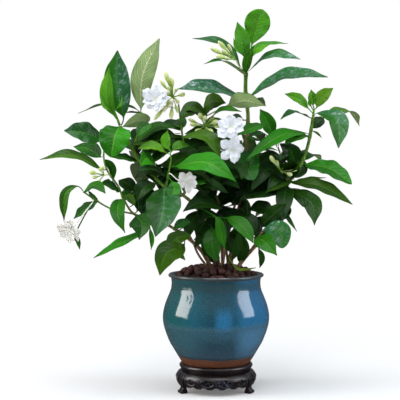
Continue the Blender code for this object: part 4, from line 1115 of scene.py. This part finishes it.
def make_inner_leaves(finish):
    """Leaves of the dense, shaded middle, in places along the stems."""
    dice = random.Random(17)
    spots = []
    for name, runs in RUNS.items():
        for run in runs:
            spots += [(name, point, radius, (b - point).normalized())
                      for (point, radius), (b, _) in zip(run, run[1:])
                      if HEART_ROWS[0] < on_sheet(point)[1] < HEART_ROWS[1]]
    groups = {name: fresh() for name in RUNS}
    made = 0
    for attempt in range(4000):
        if made == INNER_LEAVES:
            break
        name, point, radius, along = dice.choice(spots)
        heading = dice.uniform(0.0, 2 * math.pi)
        out = Vector((math.cos(heading), math.sin(heading) * 0.9, dice.uniform(0.0, 0.5)))
        out = (out - along * out.dot(along)).normalized()
        length = dice.uniform(52.0, 88.0)
        width = length * dice.uniform(0.36, 0.46)
        start = point + out * (radius + TWIG_CLEAR)
        base = start + out * 8.0
        middle = start + out * length * 0.55 + Vector((0, 0, dice.uniform(2.0, 9.0)))
        tip = start + out * length + Vector((0, 0, -dice.uniform(4.0, 30.0)))
        if not FRONT_LIMIT < min(middle.y, tip.y):
            continue
        samples = [on_sheet(a.lerp(b, share)) for a, b in ((base, middle), (middle, tip))
                   for share in (0.0, 0.5, 1.0)]
        edge = width * 0.42 / SHEET_STEP
        samples += [(column, row + shift) for column, row in samples[1:5] for shift in (-edge, edge)]
        if not all(inside(place, HEART) for place in samples):
            continue
        if any(abs(column - gap[0]) < gap[2] and abs(row - gap[1]) < gap[3]
               for column, row in samples for gap in GAPS):
            continue
        # Lower leaves get darker tones, as painted shade under the leaves above. Higher ones also turn more olive.
        low = max(0.0, min(1.0, (middle.z - 240.0) / 180.0))
        tone = (dice.uniform(0.0, 0.05 + 0.33 * low * low), dice.uniform(0.0, 0.5) * low, 0.0)
        leaf_into(groups[name], [start, base, middle, tip], width, dice.uniform(20, 70), tone, dice, 9,
                  columns=4)
        made += 1
    for name, work in groups.items():
        finished("inner_leaves_on_" + name, work, finish, "leaf", (), 1)


def make_tips(finish):
    for number, (name, (stub, blades)) in enumerate(TIPS.items()):
        dice = random.Random(300 + number)
        work = fresh()
        top = sight(*stub)
        below, radius = stem_end(top)
        start = below + (top - below).normalized() * STUB_CLEAR
        stub_run = [below.lerp(top, share / 6) for share in range(7)]
        stub_radii = [radius * (1.0 - (1.0 - STUB_TAPER) * share / 6) for share in range(6)] + [radius * 0.5]
        rod_into(work, stub_run, stub_radii, 10, [1.0] * 7, LIME)
        for root, base, middle, tip, width, lean, tone in blades:
            run = [start.lerp(top, root), sight(*base), sight(*middle), sight(*tip)]
            leaf_into(work, run, width, lean, tone, dice, 20, outline=ROUND_TOP if width > 30 else POINTED)
        finished(name + "_shoot", work, finish, "young_leaf", [name], 1)


def petal_into(work, centre, outward, facing, length, width, cup, dice, warm):
    """Add a petal that springs from the centre, widest near its ruffled end."""
    across = facing.cross(outward).normalized()
    ripple = dice.uniform(0.0, 6.28)
    bend = dice.uniform(-0.12, 0.12)
    depth = dice.uniform(0.08, 0.16)

    def shape(side, share):
        half = width / 2 * (0.16 + 0.84 * math.sin(math.pi * min(share * 0.78, 0.78)) ** 1.2)
        if share > 0.8:
            half *= math.sqrt(max(0.0, 1.0 - ((share - 0.8) / 0.2) ** 2)) * 0.75 + 0.25
        edge = side * side
        ruffle = math.sin(9.0 * share + 3.0 * side + ripple) * depth * length * (0.15 + edge) * share
        lift = cup * length * share * share - 0.18 * length * max(0.0, share - 0.55)
        place = centre + outward * length * (share - 0.06 * edge * share)
        place = place + across * (side * half + bend * length * share * share)
        return place + facing * (lift + ruffle), facing

    sheet_faces(work, 4, 7, shape, (warm, 0.0, 0.0), 0.35)


def make_flowers(finish):
    whorls = ((5, 1.04, 0.70, 0.02, 0.0), (6, 0.88, 0.60, 0.26, 0.5), (6, 0.62, 0.50, 0.62, 0.2))
    for number, (name, (stalk, centre, facing, radius, warm)) in enumerate(FLOWERS.items()):
        dice = random.Random(400 + number)
        work = fresh()
        middle = sight(*centre)
        look = Vector(facing).normalized()
        turn = look.to_track_quat("Z", "Y").to_matrix()
        for count, reach, breadth, cup, offset in whorls:
            for petal in range(count):
                angle = 2 * math.pi * (petal + offset) / count + dice.uniform(-0.22, 0.22)
                outward = turn @ Vector((math.cos(angle), math.sin(angle), 0.0))
                length = radius * reach * dice.uniform(0.80, 1.10)
                petal_into(work, middle + look * (cup * 2.0), outward, look, length,
                           length * breadth, cup + dice.uniform(-0.05, 0.22), dice, warm)
        run = [sight(*point) for point in stalk]
        run = smooth_run([seat(run[0], run[1]), *run, middle + look * 1.5], 6)
        radii = [0.8 + 0.9 * (i / (len(run) - 1)) ** 2 for i in range(len(run))]
        rod_into(work, run, radii, 8, tone=(warm, 0.0, 0.0))
        finished(name + "_bloom", work, finish, "petal", [name], 1)


def make_buds(finish):
    stops = (0.0, 0.18, 0.36, 0.48, 0.58, 0.68, 0.78, 0.87, 0.94, 0.985, 1.0)
    swell = (0.30, 0.26, 0.26, 0.32, 0.58, 0.90, 1.0, 0.92, 0.66, 0.34, 0.12)
    for name, (stalk, buds) in BUDS.items():
        work = fresh()
        run = [sight(*point) for point in stalk]
        run = smooth_run([seat(run[0], run[1]), *run], 5)
        rod_into(work, run, [0.9] * (len(run) - 2) + [1.4, 1.2], 8)
        more = [(*bud, 0.0) for bud in buds] + list(MORE_BUDS.get(name, ()))
        for base, tip, radius, warm in more:
            a, b = sight(*base), sight(*tip)
            points = [a.lerp(b, stop) for stop in stops]
            rod_into(work, points, [radius * share for share in swell], 15, ridges=(5, 0.06, 2.4),
                     tone=(warm, 0.0, 0.0))
        finished(name + "_cluster", work, finish, "bud", [name], 1)


# Thin extra shoots low down: the stem they belong to, then their runs.
LOW_SHOOTS = {
    "stem_middle": (((226, 268, 10, 2.2), (232, 248, 0, 2.0), (240, 234, -10, 1.7), (247, 222, -18, 1.3)),),
    "stem_tall": (((229, 270, 24, 2.4), (226, 246, 30, 2.2), (227, 226, 34, 1.9), (222, 206, 36, 1.5)),),
    "stem_centre": (((216, 268, 0, 2.4), (209, 248, -10, 2.2), (200, 236, -16, 1.8), (196, 224, -20, 1.4)),),
    "stem_left": (((208, 268, -14, 2.2), (198, 254, -8, 2.0), (192, 240, 4, 1.7), (184, 226, 12, 1.3)),),
}


def make_stems(bark, leaf):
    for name, ((brown_row, green_row), branches) in STEMS.items():
        work = fresh()
        for branch in (*branches, *LOW_SHOOTS.get(name, ())):
            knots = [Vector((*sight(column, row, depth), radius)) for column, row, depth, radius in branch]
            dense = smooth_run(knots, 9)
            rows = smooth_run([Vector((0, row, 0)) for _, row, _, _ in branch], 9)
            points = [Vector(knot[:3]) for knot in dense]
            keep = [i for i, point in enumerate(points) if point.z > SOIL_TOP_Z + GAP]
            radii = []
            young = []
            for i in keep:
                swelling = sum(math.exp(-((points[i] - spot).length / 3.2) ** 2) for spot in SEATS)
                radii.append(dense[i][3] * (1.0 + 0.20 * min(swelling, 1.3)))
                share = (brown_row - rows[i].y) / (brown_row - green_row)
                young.append(max(0.0, min(1.0, share)))
            rod_into(work, [points[i] for i in keep], radii, 12, young)
        if name == "shoot_back":
            dice = random.Random(500)
            for base, middle, tip, width, lean, tone, sheen in BACK_LEAVES:
                run = [sight(*base), sight(*middle), sight(*tip)]
                start = nearest_twig(run[0], [name])[1]
                leaf_into(work, [start, *run], width, lean, tone, dice, 22, sheen)
        piece = finished(name + "_bark", work, bark, "bark", [name], 1)
        if name == "shoot_back":
            piece.data.materials.append(leaf)
            blade = piece.data.attributes["tone"].data
            for polygon in piece.data.polygons:
                if blade[polygon.vertices[0]].vector[0] > 0:
                    polygon.material_index = 1


def make_pot(finish):
    work = fresh()
    outside = smooth_run([Vector((radius, height, 0)) for radius, height in POT_OUTSIDE], 5)
    inside = smooth_run([Vector((radius, height, 0)) for radius, height in POT_INSIDE], 4)
    profile = [(0.0, 47.0), *(point[:2] for point in inside), *(point[:2] for point in outside),
               (47.6, 39.6), (45.0, 40.6), (0.0, 41.4)]
    turned_into(work, profile, 120)
    finished("pot_glazed", work, finish, "glazed_stoneware", ["pot"])


def make_pellets(finish):
    """Pellets strewn at random over the mound, two deep, clear of the stems."""
    dice = random.Random(11)
    work = fresh()
    tones = work.verts.layers.float_vector["tone"]
    stems = [(point, radius) for runs in RUNS.values() for point, radius in runs[0][:8]]
    placed = []
    for layer in range(2):
        for attempt in range(4000):
            size = dice.uniform(*PELLET_R)
            angle = dice.uniform(0.0, 2 * math.pi)
            reach = math.sqrt(dice.random()) * (MOUND_EDGE_R - 0.6 * size)
            x, y = reach * math.cos(angle), reach * math.sin(angle)
            spot = Vector((x, y, mound_height(x, y) - size * (0.9 + 1.15 * layer)))
            if any((spot - other).length < (size + room) * 0.93 for other, room in placed):
                continue
            if any((spot - point).length < size + radius + 0.2 for point, radius in stems):
                continue
            placed.append((spot, size))
    for spot, size in placed:
        turn = Matrix.Rotation(dice.uniform(0, 6.28), 4, (dice.random(), dice.random(), dice.random() + 0.1))
        stretch = Matrix.Diagonal((size * dice.uniform(0.92, 1.08), size, size * dice.uniform(0.86, 1.0), 1.0))
        ball = bmesh.ops.create_icosphere(work, subdivisions=2, radius=1.0,
                                          matrix=Matrix.Translation(spot) @ turn @ stretch)["verts"]
        tone = (dice.random(), dice.random() ** 2, 0.0)
        for vertex in ball:
            vertex.co = spot + (vertex.co - spot) * dice.uniform(0.955, 1.045)
            vertex[tones] = tone
    turned_into_bed(work)
    finished("clay_pellet_bed", work, finish, "expanded_clay", ["clay_pellets"])


def turned_into_bed(work):
    """Add the dark bed that the pellets lie on; its darkness is painted shade in the gaps between the pellets."""
    bed = bmesh.new()
    bed.loops.layers.uv.new("Blade")
    profile = [(0.0, SOIL_TOP_Z + GAP), (MOUND_EDGE_R - 1.0, SOIL_TOP_Z + GAP)]
    for step in range(9):
        reach = (MOUND_EDGE_R - 1.0) * (1 - step / 8)
        profile.append((reach, mound_height(reach, 0.0) - 11.0))
    turned_into(bed, profile, 36)
    mesh = bpy.data.meshes.new("bed")
    bed.to_mesh(mesh)
    bed.free()
    work.from_mesh(mesh)


def make_stand(finish):
    work = fresh()
    outside = smooth_run([Vector((radius, height, 0)) for radius, height in BOARD_OUTSIDE[:6]], 5)
    profile = [(0.0, BOARD_SEAT[1]), (BOARD_SEAT[0] - 0.6, BOARD_SEAT[1]), (BOARD_SEAT[0] + 0.2, BOARD_SEAT[1] + 0.6),
               *(point[:2] for point in outside), *BOARD_OUTSIDE[6:], (0.0, BOARD_OUTSIDE[-1][1])]
    turned_into(work, profile, 96)
    finished("stand_board", work, finish, "dark_wood", ["stand_top"])
    for number in range(3):
        middle = math.radians(-90.0 + 120.0 * number)
        make_apron(finish, f"stand_apron_{number + 1}", middle)
        make_leg(finish, f"stand_leg_{number + 1}", middle + math.radians(60.0))


def make_leg(finish, name, angle):
    """Cabriole leg, thinner at the ankle than at the knee, edges eased."""
    work = fresh()
    corners = [work.verts.new((radius, -LEG_WIDTH / 2, height)) for radius, height in LEG_OUTLINE]
    face = work.faces.new(corners)
    far = bmesh.ops.extrude_face_region(work, geom=[face])["geom"]
    bmesh.ops.translate(work, vec=(0, LEG_WIDTH, 0), verts=[part for part in far if isinstance(part, bmesh.types.BMVert)])
    bmesh.ops.recalc_face_normals(work, faces=work.faces)
    for vertex in work.verts:
        waist = math.exp(-((vertex.co.z - 10.0) / 5.0) ** 2)
        vertex.co.y *= 1.0 - 0.24 * waist
    bmesh.ops.bevel(work, geom=work.edges[:], affect="EDGES", offset=1.1, segments=3, profile=0.5, material=-1)
    bmesh.ops.rotate(work, cent=(0, 0, 0), matrix=Matrix.Rotation(angle, 3, "Z"), verts=work.verts)
    finished(name + "_carved", work, finish, "dark_wood", [name])


def oval_rod(work, angle, height, half_width, half_height):
    shape = (Matrix.Rotation(angle, 4, "Z") @ Matrix.Translation((62.0, 0.0, height))
             @ Matrix.Rotation(math.radians(90), 4, "Y") @ Matrix.Diagonal((half_height, half_width, 1.0, 1.0)))
    bmesh.ops.create_cone(work, cap_ends=True, segments=20, radius1=1.0, radius2=1.0, depth=30.0, matrix=shape)


def apron_radius(height):
    """Radius of the apron's face at a height."""
    for (r1, z1), (r2, z2) in zip(APRON_OUTSIDE, APRON_OUTSIDE[1:]):
        if height >= z2:
            share = (z1 - height) / (z1 - z2)
            return r1 + (r2 - r1) * max(0.0, share)
    return APRON_OUTSIDE[-1][0]


def carved_line_into(work, angle, places, radii, sink):
    """Add a raised line over the apron's face, through (across, height) places."""
    points = []
    for across, height in places:
        turn = Matrix.Rotation(angle + across / APRON_FACE_R, 3, "Z")
        points.append(turn @ Vector((apron_radius(height) - sink, 0.0, height)))
    rod_into(work, points, radii, 8, tone=(1.0, 0.0, 0.0))


def scroll_into(work, angle, reach, size, hand):
    """Add a carved S whose two ends curl in at the two ends of a piercing."""
    half = [(0.0, 0.0), (reach * 0.42, -size * 0.7)]
    for step in range(SCROLL_STEPS + 1):
        share = step / SCROLL_STEPS
        curl = size * (1.0 - 0.78 * share)
        spin = SCROLL_START + SCROLL_TURNS * 2 * math.pi * share
        half.append((reach + curl * math.cos(spin), curl * math.sin(spin)))
    places = [(-across, -up) for across, up in reversed(half[1:])] + half
    last = len(places) - 1
    radii = [SCROLL_R * (1.0 - 0.3 * abs(2 * i / last - 1.0)) for i in range(last + 1)]
    places = [(across * hand, APRON_HOLE_Z + up) for across, up in places]
    carved_line_into(work, angle, places, radii, 0.8)


def edge_height(across):
    """Height of the apron's scalloped lower edge, just above its cut face."""
    height = APRON_OUTSIDE[-1][1] + 0.3
    for degrees in APRON_ARCH_ANGLES:
        away = (across - math.radians(degrees) * APRON_FACE_R) / (APRON_ARCH[0] + 0.4)
        if abs(away) < 1.0:
            height = max(height, APRON_ARCH_Z + (APRON_ARCH[1] + 0.4) * math.sqrt(1.0 - away * away))
    return height


def carving_into(work, middle):
    """Add the rims, scrolls, knots and edge carved on an apron."""
    for degrees, half_width, half_height in APRON_HOLES:
        angle = middle + math.radians(degrees)
        rim = []
        for step in range(RIM_STEPS + 1):
            turn = 2 * math.pi * step / RIM_STEPS
            rim.append(((half_width + 0.4) * math.cos(turn), APRON_HOLE_Z + (half_height + 0.4) * math.sin(turn)))
        carved_line_into(work, angle, rim, [0.9] * len(rim), 0.1)
        size = half_height - 0.3
        scroll_into(work, angle, half_width - size + 0.5, size, math.copysign(1, degrees))
    for degrees in KNOT_ANGLES:
        knot = [(0.0, height) for height in (16.2, 18.0, 21.2, 24.4, 26.4)]
        carved_line_into(work, middle + math.radians(degrees), knot, (0.6, 1.2, 1.7, 1.2, 0.6), 0.5)
    edge_end = APRON_FACE_R * math.radians(EDGE_ANGLE)
    edge = []
    for step in range(EDGE_STEPS + 1):
        across = edge_end * (2 * step / EDGE_STEPS - 1)
        edge.append((across, edge_height(across)))
    carved_line_into(work, middle, edge, [0.75] * len(edge), 0.25)


def make_apron(finish, name, middle):
    """Pierced apron with a scalloped edge, rimmed openings and carved scrolls."""
    inner = HUB_R + GAP
    half_turn = math.radians(60.0) - math.asin((LEG_WIDTH / 2 + GAP) / inner)
    outside = [point[:2] for point in smooth_run([Vector((r, z, 0)) for r, z in APRON_OUTSIDE], 3)]
    inside = [(max(radius - APRON_WALL, inner), height) for radius, height in reversed(outside)]
    work = fresh()
    swing = Matrix.Rotation(middle - half_turn, 3, "Z")
    corners = [work.verts.new(swing @ Vector((radius, 0.0, height))) for radius, height in (*outside, *inside)]
    work.faces.new(corners)
    bmesh.ops.spin(work, geom=work.verts[:] + work.edges[:] + work.faces[:], axis=(0, 0, 1),
                   cent=(0, 0, 0), angle=2 * half_turn, steps=48)
    bmesh.ops.recalc_face_normals(work, faces=work.faces)
    piece = finished(name + "_carved", work, finish, "dark_wood", [name])
    tools = bmesh.new()
    for degrees, half_width, half_height in APRON_HOLES:
        oval_rod(tools, middle + math.radians(degrees), APRON_HOLE_Z, half_width, half_height)
    for degrees in APRON_ARCH_ANGLES:
        oval_rod(tools, middle + math.radians(degrees), APRON_ARCH_Z, *APRON_ARCH)
    bmesh.ops.scale(tools, vec=(MM, MM, MM), verts=tools.verts)
    cut_mesh = bpy.data.meshes.new("openings")
    tools.to_mesh(cut_mesh)
    tools.free()
    cut = bpy.data.objects.new("openings", cut_mesh)
    SCENE.collection.objects.link(cut)
    carve = piece.modifiers.new("Openings", "BOOLEAN")
    carve.operation = "DIFFERENCE"
    carve.object = cut
    carve.use_self = True
    bpy.context.view_layer.update()
    carved = bpy.data.meshes.new_from_object(piece.evaluated_get(bpy.context.evaluated_depsgraph_get()))
    piece.modifiers.clear()
    bpy.data.objects.remove(cut)
    work = bmesh.new()
    work.from_mesh(carved)
    bmesh.ops.scale(work, vec=(1 / MM, 1 / MM, 1 / MM), verts=work.verts)
    for layer, made in (("tone", "float_vector"), ("young", "float")):
        if layer not in getattr(work.verts.layers, made):
            getattr(work.verts.layers, made).new(layer)
    carving_into(work, middle)
    bmesh.ops.scale(work, vec=(MM, MM, MM), verts=work.verts)
    work.to_mesh(piece.data)
    work.free()
    piece.data.polygons.foreach_set("use_smooth", [True] * len(piece.data.polygons))
    piece.data.set_sharp_from_angle(angle=math.radians(38))


# ---- studio


def make_camera():
    lens = bpy.data.cameras.new("front_view")
    lens.sensor_width = 36.0
    lens.lens = lens.sensor_width * EYE_DISTANCE / (SHEET_SIZE * SHEET_STEP)
    lens.shift_x = (SHEET_SIZE / 2 - AXIS_COLUMN) / SHEET_SIZE
    horizon_row = FLOOR_ROW - EYE_HEIGHT / SHEET_STEP
    lens.shift_y = (horizon_row - SHEET_SIZE / 2) / SHEET_SIZE
    camera = bpy.data.objects.new("front_view", lens)
    camera.location = (0.0, -EYE_DISTANCE * MM, EYE_HEIGHT * MM)
    camera.rotation_euler = (math.radians(90), 0.0, 0.0)
    SCENE.collection.objects.link(camera)
    SCENE.camera = camera


def make_light(name, place, aim, size, power, colour):
    lamp = bpy.data.lights.new(name, "AREA")
    lamp.shape = "RECTANGLE"
    lamp.size, lamp.size_y = size
    lamp.energy = power
    lamp.color = colour
    light = bpy.data.objects.new(name, lamp)
    light.location = place
    light.rotation_euler = (Vector(aim) - Vector(place)).to_track_quat("-Z", "Y").to_euler()
    SCENE.collection.objects.link(light)
    return light


def stage_piece(name, work, finish):
    mesh = bpy.data.meshes.new(name)
    work.to_mesh(mesh)
    work.free()
    mesh.materials.append(finish)
    made = bpy.data.objects.new(name, mesh)
    SCENE.collection.objects.link(made)
    return made


def make_studio():
    work = bmesh.new()
    bmesh.ops.create_circle(work, cap_ends=True, segments=96, radius=FLOOR_R)
    floor = stage_piece("studio_floor", work, floor_finish())
    floor.visible_glossy = False
    work = bmesh.new()
    bmesh.ops.create_icosphere(work, subdivisions=3, radius=SURROUND_R)
    surround = stage_piece("studio_surround", work, surround_finish())
    surround.visible_diffuse = False
    surround.visible_glossy = False
    surround.visible_transmission = False
    surround.visible_shadow = False
    make_light("window_left", (-1.9, -0.35, 1.05), (0, 0, 0.28), (1.30, 1.6), 34.0, (1.0, 0.99, 0.96))
    make_light("window_right", (1.9, -0.5, 1.05), (0, 0, 0.28), (1.20, 1.5), 22.0, (0.90, 0.95, 1.0))
    make_light("sky_above", (0.1, -0.7, 2.5), (0, 0, 0.3), (2.0, 2.0), 42.0, (0.94, 0.97, 1.0))
    make_light("front_fill", (-0.9, -2.6, 1.7), (0, 0, 0.35), (1.2, 1.2), 12.0, (0.98, 0.99, 1.0)).visible_glossy = False
    world = bpy.data.worlds.new("studio_air")
    world.use_nodes = True
    nodes = world.node_tree.nodes
    links = world.node_tree.links
    air = nodes["Background"]
    look = nodes.new("ShaderNodeTexCoord")
    split = nodes.new("ShaderNodeSeparateXYZ")
    fade = nodes.new("ShaderNodeValToRGB")
    links.new(look.outputs["Generated"], split.inputs[0])
    links.new(split.outputs[2], fade.inputs[0])
    links.new(fade.outputs[0], air.inputs["Color"])
    fade.color_ramp.elements[0].color = (0.16, 0.17, 0.18, 1.0)
    fade.color_ramp.elements[1].color = (0.85, 0.92, 1.0, 1.0)
    air.inputs["Strength"].default_value = 0.42
    SCENE.world = world
    SCENE.view_settings.view_transform = "Standard"


for stem_name, (_, stem_branches) in STEMS.items():
    RUNS[stem_name] = stem_runs(stem_branches)

LEAF = leaf_finish("leaf", (0.0020, 0.018, 0.0018), (0.034, 0.31, 0.006), (0.075, 0.135, 0.004), 0.30)
YOUNG = leaf_finish("young_leaf", (0.02, 0.13, 0.005), (0.095, 0.40, 0.012), (0.18, 0.26, 0.020), 0.34)
BARK = bark_finish()
PETAL = petal_finish()
BUD = bud_finish()
GLAZE = glaze_finish()
WOOD = wood_finish()
PELLET = pellet_finish()
SOIL = soil_finish()

make_leaves(LEAF)
make_inner_leaves(LEAF)
make_fallen_leaf(YOUNG)
make_tips(YOUNG)
make_flowers(PETAL)
make_buds(BUD)
make_stems(BARK, LEAF)
make_pot(GLAZE)
make_pellets(PELLET)
make_stand(WOOD)

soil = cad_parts["root_ball"]
soil.data.materials.clear()
soil.data.materials.append(SOIL)

make_camera()
make_studio()
